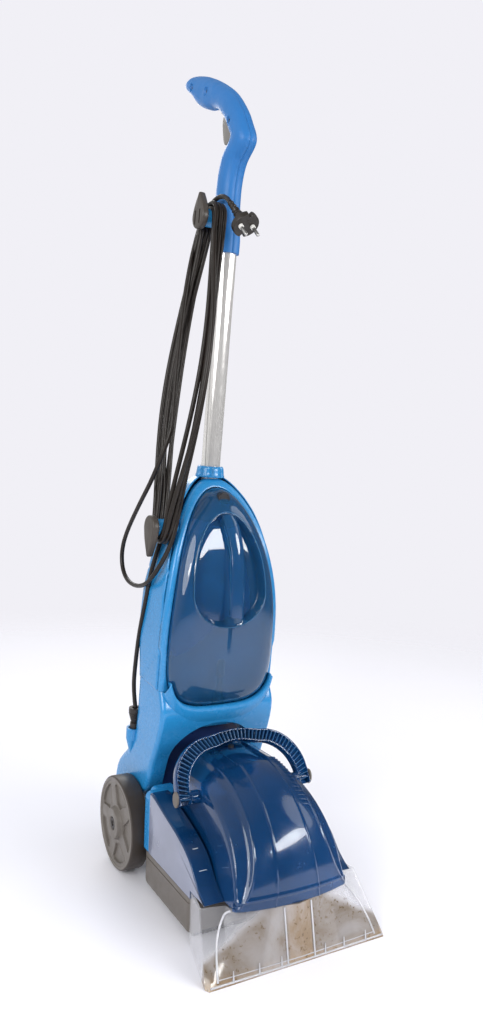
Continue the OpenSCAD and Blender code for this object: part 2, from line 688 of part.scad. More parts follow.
module pull_rod() color("silver") in_upright() {
    translate([0, tube_y, 475]) cylinder(r = rod_r, h = handle_z + 140 - 475, $fn = 32);
    translate([0, tube_y, handle_z + 140]) sphere(r = 2.4, $fn = 32);
}

// Front and back points of each section of the handle, in y and z, z from the handle's lower end
handle_pairs = [[[6, 0], [38, 0]], [[6, 20], [38, 20]], [[10, 42], [44, 40]], [[12, 66], [50, 64]],
    [[11, 96], [50, 98]], [[2, 120], [42, 132]], [[-21, 144], [21, 154]], [[-4, 177], [25, 163]],
    [[14, 200], [38, 181]], [[40, 225], [60, 201]], [[70, 245], [82, 214]], [[107, 265], [110, 221]],
    [[140, 278], [136, 234]], [[165, 284], [150, 248]], [[182, 282], [164, 258]], [[188, 274], [176, 266]]];
trigger_from = 7;
trigger_to = 9;

// C-shaped section of the handle's left half at row i of handle_pairs
function half_section(i, n = 8) = let (
        a = handle_pairs[i][0], b = handle_pairs[i][1], c = (a + b) / 2, h = norm(b - a) / 2,
        d = (b - a) / norm(b - a), left = len(handle_pairs) - 1 - i,
        last = left == 0 ? 0.5 : (left == 1 ? 0.9 : 1),
        w = handle_half_w * last, slot = (i >= trigger_from && i <= trigger_to) ? 26 : 0,
        e = 0.75,
        arc = function (t, hh, ww) [hh * sign(cos(t)) * pow(abs(cos(t)), e), ww * pow(abs(sin(t)), e)],
        outer = [for (k = [0 : n]) arc(180 - (180 - slot) * k / n, h, w)],
        inner = [for (k = [n : -1 : 0]) arc(180 - (180 - slot) * k / n, h - handle_wall, w - handle_wall)])
    [for (q = concat(outer, inner)) [-q[1] - 0.05, c[0] + d[0] * q[0], handle_z + c[1] + d[1] * q[0]]];

module handle_half() difference() {
    strip_loft([for (i = [0 : len(handle_pairs) - 1]) half_section(i)]);
    translate([0, trig_y, trig_z]) rod_x(trig_pin + run_gap, -trig_half - seat_gap, 0, 32);
}

module handle_left() color(body_blue) in_upright() handle_half();
module handle_right() color(body_blue) in_upright() mirror([1, 0, 0]) handle_half();

module handle_screws() color("#20242a") in_upright() for (p = [[150, 262], [98, 240], [20, 180]])
    translate([0, p[0], handle_z + p[1]])
        rod_x(2.5, handle_wall + 0.6 - handle_half_w, handle_half_w - handle_wall - 0.6, 24);

// Trigger under the crook: a lever on a pin that sits in blind bores in both halves
trig_y = 47;
trig_z = handle_z + 196;
trig_pin = 2;
trig_half = handle_half_w - handle_wall - 1.9;
module trigger() color("#6f6c69") in_upright() {
    translate([0, trig_y, trig_z]) rod_x(trig_pin, -trig_half, trig_half, 32);
    plate_yz([[42, handle_z + 194], [46, handle_z + 201], [53, handle_z + 198], [58, handle_z + 186],
        [48, handle_z + 154], [34, handle_z + 153], [29, handle_z + 166]], -4, 4);
}

// Teardrop plate of a hook in y and z: up is 1 or -1
function teardrop(up, r, l, n = 12) = concat(
    [for (k = [0 : n]) let (a = 20 - 220 * k / n) [r * cos(a), up * r * sin(a)]],
    [[-r * 0.35, up * l * 0.85], [0, up * l], [r * 0.35, up * l * 0.85]]);

// Blue posts that the cord is wound on, and the plates that keep it there
module upper_post() color(body_blue) in_upright() translate([-handle_half_w - seat_gap, hook_up_y, hook_up_z])
    difference() {
        rod_x(post_r, -post_len, 0);
        rod_x(spigot_r + run_gap, -post_len - 1, -post_len + 14.5);
    }

module lower_post() color(body_blue) in_upright() difference() {
    translate([-low_face, hook_low_y, hook_low_z]) rod_x(post_r, -post_len, 12);
    loft(shell_rings(-seat_gap, shell_heights, -body_front - 6));
}

module upper_hook() color(taupe) in_upright()
    translate([-handle_half_w - post_len - 2 * seat_gap, hook_up_y, hook_up_z]) {
        difference() {
            plate_yz(teardrop(1, 17, 32), -plate_t, 0);
            for (y = [-7, 7]) translate([-plate_t - 1, y - 2, -7]) cube([3, 4, 14]);
        }
        rod_x(spigot_r, -1, 14);
    }

module lower_hook() color(taupe) in_upright() translate([-low_face - post_len - seat_gap, hook_low_y, hook_low_z])
    plate_yz(teardrop(-1, 17, 41), -plate_t, 0);

// ---------- clean tank ----------

// Finger pocket in the tank's face, grown by g, with the upright bar that the hand holds
grip_z = 350;
grip_x = 13;
grip_half = 12;
module grip_pocket(g) plate_xz([for (k = [0 : 23]) let (a = 15 * k)
    [-2 + (55 + g) * cos(a), grip_z + (sin(a) > 0 ? 108 + g : 46 + g) * sin(a)]],
    -body_front - egg_bulge - 20, -body_front - 8 + g);
module grip_bar(g) translate([grip_x - grip_half + g, -body_front - egg_bulge - 10, grip_z - 60])
    cube([2 * (grip_half - g), 24 - g, 190]);

// Front of the tank: the egg outline swelling out of the rim's curve, as a stack of egg rings
function egg_ring(k, d, out, n = 26) = let (o = egg_outline(egg_half_w - d, egg_up - d, egg_down - d, n))
    [for (p = o) [p[0], rim_y(p[1]) - out, p[1]]];

module clean_tank() color(clear_blue, blues) in_upright() difference() {
    bent_loft([egg_ring(0, 24, -egg_back - egg_deep), egg_ring(0, 1, -egg_back), egg_ring(0, 0, 0.5),
        egg_ring(0, 5, egg_bulge * 0.45), egg_ring(0, 17, egg_bulge * 0.8), egg_ring(0, 36, egg_bulge)]);
    difference() {
        bent_loft([egg_ring(0, 27, tank_wall - egg_back - egg_deep), egg_ring(0, 4, -egg_back), egg_ring(0, 3, 0),
            egg_ring(0, 8, egg_bulge * 0.45 - 2.5), egg_ring(0, 20, egg_bulge * 0.8 - 3),
            egg_ring(0, 38, egg_bulge - 3)]);
        grip_pocket(tank_wall);
    }
    difference() {
        grip_pocket(0);
        grip_bar(0);
    }
    translate([0, valve_y, egg_mid - egg_down - 5]) cylinder(r = 12.3, h = 14, $fn = 48);
    translate([0, rim_y(button_z) - 40, button_z]) rotate([-90, 0, 0]) cylinder(r = 10, h = 60, $fn = 40);
}

module fill_cap() color("#2f3236") in_upright() translate([0, valve_y, egg_mid - egg_down - 0.5])
    cylinder(r = 12, h = 9, $fn = 48);

module release_button() color("#3b3b3c") in_upright() translate([0, rim_y(button_z) - 19.5, button_z])
    rotate([-90, 0, 0]) cylinder(r = 9.6, h = 12, $fn = 40);

// ---------- cord ----------

// Points along the cord's loose stretches, in the upright's frame
tail_pts = [[grom_x, 33, 154], [-90, 41, 192], [-90.5, 36, 243], [-92.4, 24, 285], [-92.4, 12, 324],
    [-91, 5, 365], [-85, 2, 395], [-79, 3, 418]];
slack_pts = [[-76, -35, 440], [-82, -34, 410], [-90, -29, 388], [-97, -16, 364], [-99, 8, 347], [-99, 45, 339],
    [-99, 78, 343], [-98, 98, 360], [-98, 101, 384], [-98, 84, 414], [-98, 46, 457], [-97, 12, 494],
    [-92, -6, 528], [-88, -10, 560]];
lead_pts = [[-23.5, -20, 877.5], [-26, -14, 886], [-29, -2, 891], [-31, 14, 888]];

// Smooth point at t between the second and third of four points
function smooth(p, t) = 0.5 * ((2 * p[1]) + (p[2] - p[0]) * t + (2 * p[0] - 5 * p[1] + 4 * p[2] - p[3]) * t * t
    + (3 * p[1] - p[0] - 3 * p[2] + p[3]) * t * t * t);
function route(pts, n) = let (m = len(pts) - 1) concat([for (i = [0 : m - 1], k = [0 : n - 1]) smooth(
    [pts[max(0, i - 1)], pts[i], pts[i + 1], pts[min(m, i + 2)]], k / n)], [pts[m]]);
function unit(v) = v / norm(v);

module cord_tube(pts, n) {
    p = route(pts, n);
    m = len(p) - 1;
    loft([for (i = [0 : m]) let (
            d = unit(p[min(m, i + 1)] - p[max(0, i - 1)]),
            u = unit(cross(d, abs(d[0]) < 0.9 ? [1, 0, 0] : [0, 1, 0])), v = cross(d, u))
        [for (k = [0 : 7]) p[i] + cord_d / 2 * (u * cos(45 * k) + v * sin(45 * k))]]);
}

module cord_tail() color(cord_black) in_upright() cord_tube(tail_pts, 2);
module cord_slack() color(cord_black) in_upright() cord_tube(slack_pts, 3);
module cord_lead() color(cord_black) in_upright() cord_tube(lead_pts, 2);

// The winding round both posts, in its own slanted plane: it spreads between them
post_up = [-handle_half_w - post_len / 2, hook_up_y, hook_up_z];
post_low = [-low_face - post_len / 2, hook_low_y, hook_low_z];
hank_l = norm(post_up - post_low);
hank_n = 12;
hank_t = 19;
function bow(r, spread) = concat(
    [for (k = [0 : 6]) [r * cos(180 + 30 * k), r * sin(180 + 30 * k)]],
    [for (k = [1 : hank_n - 1]) [r + spread * sin(180 * k / hank_n), hank_l * k / hank_n]],
    [for (k = [0 : 6]) [r * cos(30 * k), hank_l + r * sin(30 * k)]],
    [for (k = [hank_n - 1 : -1 : 1]) [-r - spread * sin(180 * k / hank_n), hank_l * k / hank_n]]);
module cord_hank() color(cord_black) in_upright() translate(post_low)
    rotate([-asin((hook_up_y - hook_low_y) / hank_l), 0, 0])
        rotate([0, asin((post_up[0] - post_low[0]) / hank_l), 0]) rotate([90, 0, 90])
            difference() {
                translate([0, 0, -hank_t / 2]) linear_extrude(hank_t) polygon(bow(post_r + 14, 34));
                translate([0, 0, -hank_t]) linear_extrude(2 * hank_t) polygon(bow(post_r + 1.2, 22));
            }

module cord_grommet() color("#231f1d") in_upright() translate([grom_x, grom_y, grom_z]) {
    translate([0, 0, -13.7]) cylinder(r = 6.3, h = 14, $fn = 40);
    cylinder(r = 6.5, h = 8, $fn = 40);
    translate([0, 0, 8]) cylinder(r1 = 5, r2 = 9.5, h = 17, $fn = 40);
    translate([0, 0, 25]) cylinder(r = 9.5, h = 6, $fn = 40);
}

// Places its children at p with their Z axis pointing at q
module aimed(p, q) {
    v = q - p;
    translate(p) rotate([0, acos(v[2] / norm(v)), atan2(v[1], v[0])]) children();
}

// Flat-faced two-pin plug, hanging with its pins down and to the right
plug_at = [-12, -42, 850];
plug_way = [0.15, -0.68, -0.71];
module plug_body() color("#2c2724") in_upright() {
    aimed(plug_at, plug_at + plug_way) difference() {
        cylinder(r = 19.5, h = 9, $fn = 64);
        for (s = [-1, 1]) translate([0, s * 17, -1]) cylinder(r = 5, h = 12, $fn = 40);
    }
    aimed(plug_at, lead_pts[0]) cylinder(r1 = 9, r2 = 5.5, h = norm(lead_pts[0] - plug_at), $fn = 40);
}
module plug_pins() color("silver") in_upright() aimed(plug_at, plug_at + plug_way) for (x = [-9.5, 9.5])
    translate([x, 0, 9]) cylinder(d = 4.8, h = 19, $fn = 32);

base_pan();
base_cover();
wheel_axle();
axle_clips();
base_screws();
brush_strip();
spray_bar();
nozzle_front();
nozzle_back();
left_wheel();
right_wheel();
left_hub_cap();
right_hub_cap();
tank_tub();
tank_hood();
tank_gasket();
float_ball();
tank_latch();
tank_bail();
bail_caps();
yoke();
rear_cover();
rear_shell();
front_ring();
shell_screws();
motor_cover();
suction_duct();
motor();
fan_housing();
water_pump();
valve_seat();
power_switch();
tube_collar();
tube_screw();
handle_tube();
rod_guide();
pull_rod();
handle_left();
handle_right();
handle_screws();
trigger();
upper_post();
upper_hook();
lower_post();
lower_hook();
clean_tank();
fill_cap();
release_button();
cord_grommet();
cord_tail();
cord_hank();
cord_slack();
cord_lead();
plug_body();
plug_pins();
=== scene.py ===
# Carpet cleaner machine: the looks of each piece, built round the frame. Metres, +Z up, front towards -Y.
import math

import bmesh
import bpy
import numpy as np
from mathutils import Matrix, Vector


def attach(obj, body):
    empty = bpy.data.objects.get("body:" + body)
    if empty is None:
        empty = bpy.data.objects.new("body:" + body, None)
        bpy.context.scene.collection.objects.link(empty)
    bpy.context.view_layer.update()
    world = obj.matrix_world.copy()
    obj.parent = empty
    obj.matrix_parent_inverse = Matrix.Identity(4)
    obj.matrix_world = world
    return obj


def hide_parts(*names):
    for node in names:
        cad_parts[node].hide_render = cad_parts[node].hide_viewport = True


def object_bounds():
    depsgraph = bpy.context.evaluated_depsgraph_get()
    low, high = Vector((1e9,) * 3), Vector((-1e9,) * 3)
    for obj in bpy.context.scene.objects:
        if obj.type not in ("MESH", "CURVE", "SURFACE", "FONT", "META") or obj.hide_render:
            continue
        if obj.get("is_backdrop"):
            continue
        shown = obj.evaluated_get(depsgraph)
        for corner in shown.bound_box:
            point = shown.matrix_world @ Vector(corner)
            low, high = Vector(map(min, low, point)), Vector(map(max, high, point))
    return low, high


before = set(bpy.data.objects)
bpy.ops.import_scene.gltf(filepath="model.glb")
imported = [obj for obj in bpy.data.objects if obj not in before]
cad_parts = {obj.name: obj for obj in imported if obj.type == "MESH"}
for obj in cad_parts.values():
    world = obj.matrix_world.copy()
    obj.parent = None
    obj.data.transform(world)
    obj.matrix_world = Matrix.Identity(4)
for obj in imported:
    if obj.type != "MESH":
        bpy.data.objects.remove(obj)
cad_box = [list(v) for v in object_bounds()]
scene = bpy.context.scene
scene.view_settings.view_transform = "Standard"

# ---------- the two frames that the pieces are drawn in, in millimetres ----------

BASE_BODIES = ("base", "left_wheel", "right_wheel", "dirty_tank", "tank_latch")
AXLE_Y, AXLE_Z = 104.25, 65.0
LEAN = math.radians(5.3)


def base_frame(p):
    """Base pieces: y is measured from the wheel axle."""
    p = np.asarray(p, float)
    return (p + np.array([0, AXLE_Y, 0])) / 1000


def upright_frame(p):
    """Upright pieces: y and z are measured from the axle, along the leaning body."""
    p = np.asarray(p, float)
    x, y, z = p[..., 0], p[..., 1], p[..., 2]
    c, s = math.cos(LEAN), math.sin(LEAN)
    return np.stack([x, AXLE_Y + y * c - z * s, AXLE_Z + y * s + z * c], -1) / 1000


# ---------- camera ----------

cam = bpy.data.cameras.new("camera")
cam.sensor_fit, cam.sensor_width = "AUTO", 36
cam.lens, cam.shift_x = 26.69, 0.0217
cam.clip_start, cam.clip_end = 0.05, 30
eye = bpy.data.objects.new("camera", cam)
scene.collection.objects.link(eye)
right = Vector((0.87916, -0.47524, 0.03488))
above = Vector((-0.01376, 0.04784, 0.99876))
ahead = Vector((0.47632, 0.87855, -0.03552))
turn = Matrix((right, above, -ahead)).transposed().to_4x4()
eye.matrix_world = Matrix.Translation((-0.5171, -0.90735, 0.5565)) @ turn
scene.camera = eye

# ---------- shader maths ----------


class Val:
    """A shader socket that takes part in Python expressions."""

    def __init__(self, shader, socket):
        self.s, self.o = shader, socket

    def math(self, op, *others, clamp=False):
        node = self.s.tree.nodes.new("ShaderNodeMath")
        node.operation, node.use_clamp = op, clamp
        for i, v in enumerate((self,) + others):
            self.s.feed(node.inputs[i], v)
        return Val(self.s, node.outputs[0])

    def __add__(self, o): return self.math("ADD", o)
    def __radd__(self, o): return self.math("ADD", o)
    def __sub__(self, o): return self.math("SUBTRACT", o)
    def __mul__(self, o): return self.math("MULTIPLY", o)
    def __rmul__(self, o): return self.math("MULTIPLY", o)
    def __truediv__(self, o): return self.math("DIVIDE", o)
    def __rsub__(self, o): return (self * -1.0).math("ADD", o)
    def __abs__(self): return self.math("ABSOLUTE")
    def max(self, o): return self.math("MAXIMUM", o)
    def min(self, o): return self.math("MINIMUM", o)
    def sin(self): return self.math("SINE")

    def ramp(self, lo, hi, a=0.0, b=1.0):
        """Smooth step of the value from lo..hi to a..b."""
        n = self.s.node("ShaderNodeMapRange", dict(interpolation_type="SMOOTHSTEP"),
                        {0: self, 1: lo, 2: hi, 3: a, 4: b})
        return n


class Shader:
    """One material's node tree."""

    def __init__(self, name):
        self.m = bpy.data.materials.new(name)
        self.m.use_nodes = True
        self.tree = self.m.node_tree
        self.tree.nodes.clear()
        self.out = self.tree.nodes.new("ShaderNodeOutputMaterial")
        self.bsdf = self.tree.nodes.new("ShaderNodeBsdfPrincipled")
        self.tree.links.new(self.bsdf.outputs[0], self.out.inputs[0])
        at = self.tree.nodes.new("ShaderNodeTexCoord").outputs["Object"]
        self.at = Val(self, at)
        xyz = self.tree.nodes.new("ShaderNodeSeparateXYZ")
        self.tree.links.new(at, xyz.inputs[0])
        self.x, self.y, self.z = (Val(self, xyz.outputs[i]) for i in range(3))

    def feed(self, socket, v):
        if isinstance(v, Val):
            self.tree.links.new(v.o, socket)
        elif v is not None:
            socket.default_value = v

    def node(self, kind, settings, inputs, out=0):
        n = self.tree.nodes.new(kind)
        for k, v in settings.items():
            if k == "stops":
                while len(n.color_ramp.elements) < len(v):
                    n.color_ramp.elements.new(1)
                for e, (pos, col) in zip(n.color_ramp.elements, v):
                    e.position, e.color = pos, col
            else:
                setattr(n, k, v)
        for k, v in inputs.items():
            self.feed(n.inputs[k], v)
        return Val(self, n.outputs[out])

    def noise(self, scale, detail=3.0, rough=0.55, at=None, distort=0.0):
        return self.node("ShaderNodeTexNoise", {}, {"Vector": at or self.at, "Scale": scale,
                         "Detail": detail, "Roughness": rough, "Distortion": distort})

    def stretch(self, sx, sy, sz):
        return self.node("ShaderNodeMapping", {}, {0: self.at, 3: (sx, sy, sz)})

    def mix(self, f, a, b):
        return self.node("ShaderNodeMix", dict(data_type="RGBA"), {0: f, 6: a, 7: b}, 2)

    def set(self, **kw):
        for k, v in kw.items():
            self.feed(self.bsdf.inputs[k.replace("_", " ")], v)
        return self

    def bump(self, height, distance, strength=0.5):
        n = self.node("ShaderNodeBump", {}, {"Height": height, "Distance": distance, "Strength": strength})
        self.set(Normal=n)
        return self


def rgb(r, g, b):
    """A screen colour, 0 to 255, as the linear colour that a shader takes."""
    f = lambda c: c / 12.92 if c <= 0.04045 else ((c + 0.055) / 1.055) ** 2.4
    return (f(r / 255), f(g / 255), f(b / 255), 1.0)


def plastic(name, col, rough=0.28, grain=0.00006, scale=900, coat=0.0, vary=0.06):
    """Moulded plastic: a soft mottle in its colour, fine grain, slightly uneven gloss."""
    s = Shader(name)
    mottle = s.noise(14, 4)
    dark = tuple(c * (1 - vary * 1.6) for c in col[:3]) + (1.0,)
    light = tuple(min(1, c * (1 + vary)) for c in col[:3]) + (1.0,)
    s.set(Base_Color=s.mix(mottle, dark, light), Coat_Weight=coat, Coat_Roughness=0.08)
    fine = s.noise(scale, 2)
    scuff = s.noise(55, 5, 0.7)
    s.set(Roughness=scuff.ramp(0.3, 0.75, rough * 0.85, rough * 1.25))
    s.bump(fine * 1.0 + scuff * 0.4, grain, 0.6)
    return s


def metal(name, col, rough=0.25, along=(1, 1, 30), scale=300):
    """Drawn or turned metal: fine lines along one axis over a faint cloudiness."""
    s = Shader(name)
    lines = s.noise(scale, 3, 0.6, at=s.stretch(*along))
    cloud = s.noise(25, 3)
    s.set(Base_Color=s.mix(cloud, tuple(c * 0.9 for c in col[:3]) + (1,), col), Metallic=1.0)
    s.set(Roughness=(lines * 0.6 + cloud * 0.4).ramp(0.2, 0.8, rough * 0.7, rough * 1.3))
    s.bump(lines, 0.00002, 0.4)
    return s


BLUE = plastic("blue shell", rgb(38, 132, 192), 0.26, coat=0.25, grain=0.00001).m
GRIP = plastic("blue grip", rgb(33, 110, 178), 0.48, grain=0.00001).m
TAUPE = plastic("taupe housing", rgb(98, 92, 86), 0.42, grain=0.00012, scale=1500).m
DARK = plastic("dark plastic", rgb(38, 38, 42), 0.45, grain=0.00002).m
BLACK = plastic("black moulding", rgb(40, 34, 30), 0.42, grain=0.00004).m
GREY = plastic("grey lever", rgb(120, 116, 112), 0.35).m
STEEL = metal("steel", (0.62, 0.61, 0.6, 1), 0.3).m

# ---------- meshes ----------


def on_axis(axis, c, u, v):
    """Points at c along an axis, from their other two coordinates."""
    return np.stack({"x": (c, u, v), "y": (u, c, v), "z": (u, v, c)}[axis], -1)


def add(name, verts, faces, mat, body, replaces=(), place=None, smooth=35):
    """A piece from points and faces, riding on a body and standing for CAD nodes.

    Its points are in its body's own frame, unless place gives another."""
    place = place or (base_frame if body in BASE_BODIES else upright_frame)
    v = place(np.asarray(verts, float))
    me = bpy.data.meshes.new(name)
    me.from_pydata([tuple(q) for q in v], [], [tuple(int(i) for i in f) for f in faces])
    bm = bmesh.new()
    bm.from_mesh(me)
    bmesh.ops.remove_doubles(bm, verts=bm.verts, dist=1e-6)
    bmesh.ops.recalc_face_normals(bm, faces=bm.faces)
    bm.to_mesh(me)
    bm.free()
    ob = bpy.data.objects.new(name, me)
    scene.collection.objects.link(ob)
    me.materials.append(mat)
    shade(ob, smooth)
    if body:
        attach(ob, body)
    if replaces:
        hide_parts(*([replaces] if isinstance(replaces, str) else replaces))
    return ob


def shade(ob, angle):
    me = ob.data
    me.polygons.foreach_set("use_smooth", [True] * len(me.polygons))
    if hasattr(me, "set_sharp_from_angle"):
        me.set_sharp_from_angle(angle=math.radians(angle))


def grid(rings, close_u=True, close_v=False, caps=()):
    """Points and quads through rings of equal count. caps: 'a' and 'b' close the first and last ring."""
    n, m = len(rings[0]), len(rings)
    verts = [p for r in rings for p in r]
    faces = []
    for i in range(m if close_v else m - 1):
        for j in range(n if close_u else n - 1):
            a, b = i * n + j, i * n + (j + 1) % n
            c, d = ((i + 1) % m) * n + (j + 1) % n, ((i + 1) % m) * n + j
            faces.append((a, b, c, d))
    for cap in caps:
        k = 0 if cap == "a" else m - 1
        mid = len(verts)
        verts.append(np.mean([verts[k * n + j] for j in range(n)], axis=0))
        faces += [(k * n + j, k * n + (j + 1) % n, mid) for j in range(n)]
    return np.array(verts, float), faces


def lathe(profile, axis="x", n=96):
    """Turns (along, radius) points round an axis through the origin."""
    rings = []
    for a, r in profile:
        t = np.linspace(0, 2 * math.pi, n, endpoint=False)
        u, v = r * np.cos(t), r * np.sin(t)
        o = np.full(n, a)
        rings.append(np.stack({"x": (o, u, v), "y": (v, o, u), "z": (u, v, o)}[axis], -1))
    return rings


def turned_piece(profile, axis="x", n=96, at=(0, 0, 0)):
    v, f = grid(lathe(profile, axis, n), caps="ab")
    return v + np.array(at, float), f


def round_profile(pts, r, steps=4):
    """Rounds each inner corner of an open profile of (along, radius) points by r."""
    out = [pts[0]]
    for a, b, c in zip(pts, pts[1:], pts[2:]):
        a, b, c = map(lambda q: np.array(q, float), (a, b, c))
        la, lc = np.linalg.norm(a - b), np.linalg.norm(c - b)
        k = min(r, 0.45 * la, 0.45 * lc)
        if k < 1e-4:
            out.append(tuple(b))
            continue
        p, q = b + (a - b) / la * k, b + (c - b) / lc * k
        for t in np.linspace(0, 1, steps + 1):
            out.append(tuple((1 - t) ** 2 * p + 2 * t * (1 - t) * b + t * t * q))
    out.append(pts[-1])
    return out


def slab(outline, t0, t1, r=1.0, steps=3, axis="x"):
    """A plate with rounded edges: a closed outline of (u, v) points, thick from t0 to t1 along an axis."""
    o = np.array(outline, float)
    d1 = np.roll(o, -1, 0) - o
    d0 = o - np.roll(o, 1, 0)
    n0 = np.stack([d0[:, 1], -d0[:, 0]], -1) / (np.linalg.norm(d0, axis=1)[:, None] + 1e-9)
    n1 = np.stack([d1[:, 1], -d1[:, 0]], -1) / (np.linalg.norm(d1, axis=1)[:, None] + 1e-9)
    nm = n0 + n1
    nm /= np.maximum(np.linalg.norm(nm, axis=1)[:, None], 1e-9) ** 2 / 2 + 1e-9
    area = np.sum(o[:, 0] * np.roll(o[:, 1], -1) - np.roll(o[:, 0], -1) * o[:, 1])
    nm = nm * (1 if area > 0 else -1)
    rings = []
    for k in range(steps + 1):
        a = math.pi / 2 * k / steps
        rings.append((o - nm * r * (1 - math.sin(a)), t0 + r * (1 - math.cos(a))))
    for k in range(steps, -1, -1):
        a = math.pi / 2 * k / steps
        rings.append((o - nm * r * (1 - math.sin(a)), t1 - r * (1 - math.cos(a))))
    out = []
    for q, t in rings:
        c = np.full(len(q), t)
        out.append(on_axis(axis, c, q[:, 0], q[:, 1]))
    return grid(out, caps="ab")


def joined(*parts):
    """One set of points and faces from several."""
    verts, faces, k = [], [], 0
    for v, f in parts:
        verts.append(np.asarray(v, float))
        faces += [tuple(i + k for i in g) for g in f]
        k += len(v)
    return np.concatenate(verts), faces


def smooth_path(pts, n):
    """Catmull-Rom line through the points, n steps for each stretch."""
    p = np.array(pts, float)
    out = []
    for i in range(len(p) - 1):
        a, b, c, d = p[max(0, i - 1)], p[i], p[i + 1], p[min(len(p) - 1, i + 2)]
        for k in range(n):
            t = k / n
            out.append(0.5 * (2 * b + (c - a) * t + (2 * a - 5 * b + 4 * c - d) * t * t
                              + (3 * b - a - 3 * c + d) * t ** 3))
    out.append(p[-1])
    return np.array(out)


def even(path, step):
    """The same line with points a fixed step apart."""
    seg = np.linalg.norm(np.diff(path, axis=0), axis=1)
    s = np.concatenate([[0], np.cumsum(seg)])
    n = max(2, int(round(s[-1] / step)) + 1)
    u = np.linspace(0, s[-1], n)
    return np.stack([np.interp(u, s, path[:, i]) for i in range(3)], -1)


def relax(path, rounds, keep=2):
    """Softens a line's kinks and leaves its ends in place."""
    p = path.copy()
    for _ in range(rounds):
        p[keep:-keep] = 0.25 * p[keep - 1:-keep - 1] + 0.5 * p[keep:-keep] + 0.25 * p[keep + 1:len(p) - keep + 1]
    return p


# ---------- repeated pieces ----------


def repeat_tree(mat):
    """Geometry nodes: one piece set on every point, turned and sized by the points' own values."""
    g = bpy.data.node_groups.new("repeated pieces", "GeometryNodeTree")
    for name, kind in (("Points", "NodeSocketGeometry"), ("Piece", "NodeSocketObject")):
        g.interface.new_socket(name, in_out="INPUT", socket_type=kind)
    g.interface.new_socket("Pieces", in_out="OUTPUT", socket_type="NodeSocketGeometry")
    new = g.nodes.new
    src, out, info = new("NodeGroupInput"), new("NodeGroupOutput"), new("GeometryNodeObjectInfo")
    kinds = ("InstanceOnPoints", "RealizeInstances", "SetMaterial")
    each, real, paint = (new("GeometryNode" + k) for k in kinds)
    paint.inputs["Material"].default_value = mat
    g.links.new(src.outputs["Points"], each.inputs["Points"])
    g.links.new(src.outputs["Piece"], info.inputs["Object"])
    g.links.new(info.outputs["Geometry"], each.inputs["Instance"])
    for name, socket in (("turn", "Rotation"), ("size", "Scale")):
        read = new("GeometryNodeInputNamedAttribute")
        read.data_type = "FLOAT_VECTOR"
        read.inputs["Name"].default_value = name
        g.links.new(read.outputs["Attribute"], each.inputs[socket])
    g.links.new(each.outputs["Instances"], real.inputs["Geometry"])
    g.links.new(real.outputs["Geometry"], paint.inputs["Geometry"])
    g.links.new(paint.outputs["Geometry"], out.inputs[0])
    return g


def repeated(name, piece, places, mat, body, place, replaces=(), smooth=35):
    """The piece (points, faces) at each (at, turn, size), as one mesh in its frame."""
    made = []
    for tag, v, f in (("piece", piece[0], piece[1]), ("points", [p[0] for p in places], [])):
        me = bpy.data.meshes.new(name + "_" + tag)
        me.from_pydata([tuple(q) for q in v], [], [tuple(int(i) for i in k) for k in f])
        made.append(bpy.data.objects.new(me.name, me))
        scene.collection.objects.link(made[-1])
    for k, key in ((1, "turn"), (2, "size")):
        a = made[1].data.attributes.new(key, "FLOAT_VECTOR", "POINT")
        a.data.foreach_set("vector", np.array([p[k] for p in places], float).ravel())
    m = made[1].modifiers.new("repeated", "NODES")
    m.node_group = repeat_tree(mat)
    m[[k.identifier for k in m.node_group.interface.items_tree if k.name == "Piece"][0]] = made[0]
    dg = bpy.context.evaluated_depsgraph_get()
    me = bpy.data.meshes.new_from_object(made[1].evaluated_get(dg))
    v = np.array([q.co[:] for q in me.vertices])
    f = [tuple(p.vertices) for p in me.polygons]
    for ob in made:
        bpy.data.objects.remove(ob)
    return add(name, v, f, mat, body, place=place, replaces=replaces, smooth=smooth)


# ---------- mains cord: up from the relief, nearly six turns on the posts, the slack loop, the plug ----------

CORD_D = 6.4
POST_LOW = np.array([-82.4, -12.0, 433.0])
POST_UP = np.array([-30.0, 14.0, 861.0])
SPAN = np.linalg.norm(POST_UP - POST_LOW)
HB = (POST_UP - POST_LOW) / SPAN
HC = np.array([1.0, 0, 0]) - HB * HB[0]
HC /= np.linalg.norm(HC)
HA = np.cross(HB, HC)
HA *= np.sign(HA[1])


def hank(a, b, c):
    """A point of the winding: a rearwards, b along the posts, c towards the body."""
    return POST_LOW + HA * a + HB * b + HC * c


def winding():
    """Up the rear side, over the upper post, down the front side and under the lower post."""
    pts = []
    turns = [  # radius at the posts, layer, rear bow, front bow
        (16.4, 6.4, 30, 25), (16.4, 0.0, 41, 37), (16.4, -6.4, 24, 30),
        (22.9, -6.4, 36, 44), (22.9, 0.2, 26, 27), (22.9, 6.6, 20, 18)]
    side = np.linspace(0, 1, 25)[1:-1]
    arc = np.radians(np.linspace(0, 180, 11))
    for k, (r, c, rear, front) in enumerate(turns):
        nr, nc = (turns[k + 1][:2] if k + 1 < len(turns) else (r, c))
        for t in side:
            pts.append(hank(r + rear * math.sin(math.pi * t) ** 1.35, SPAN * t, c + 1.5 * math.sin(7 * t + k)))
        for a in arc:
            pts.append(hank(r * math.cos(a), SPAN + r * math.sin(a), c))
        if k == len(turns) - 1:
            break
        for t in side[::-1]:
            pts.append(hank(-r - front * math.sin(math.pi * t) ** 1.35, SPAN * t,
                            c + 1.5 * math.sin(5 * t + 2 * k)))
        for a in arc:
            q = a / math.pi
            rr, cc = r + (nr - r) * q, c + (nc - c) * q
            pts.append(hank(-rr * math.cos(a), -rr * math.sin(a), cc))
    return pts


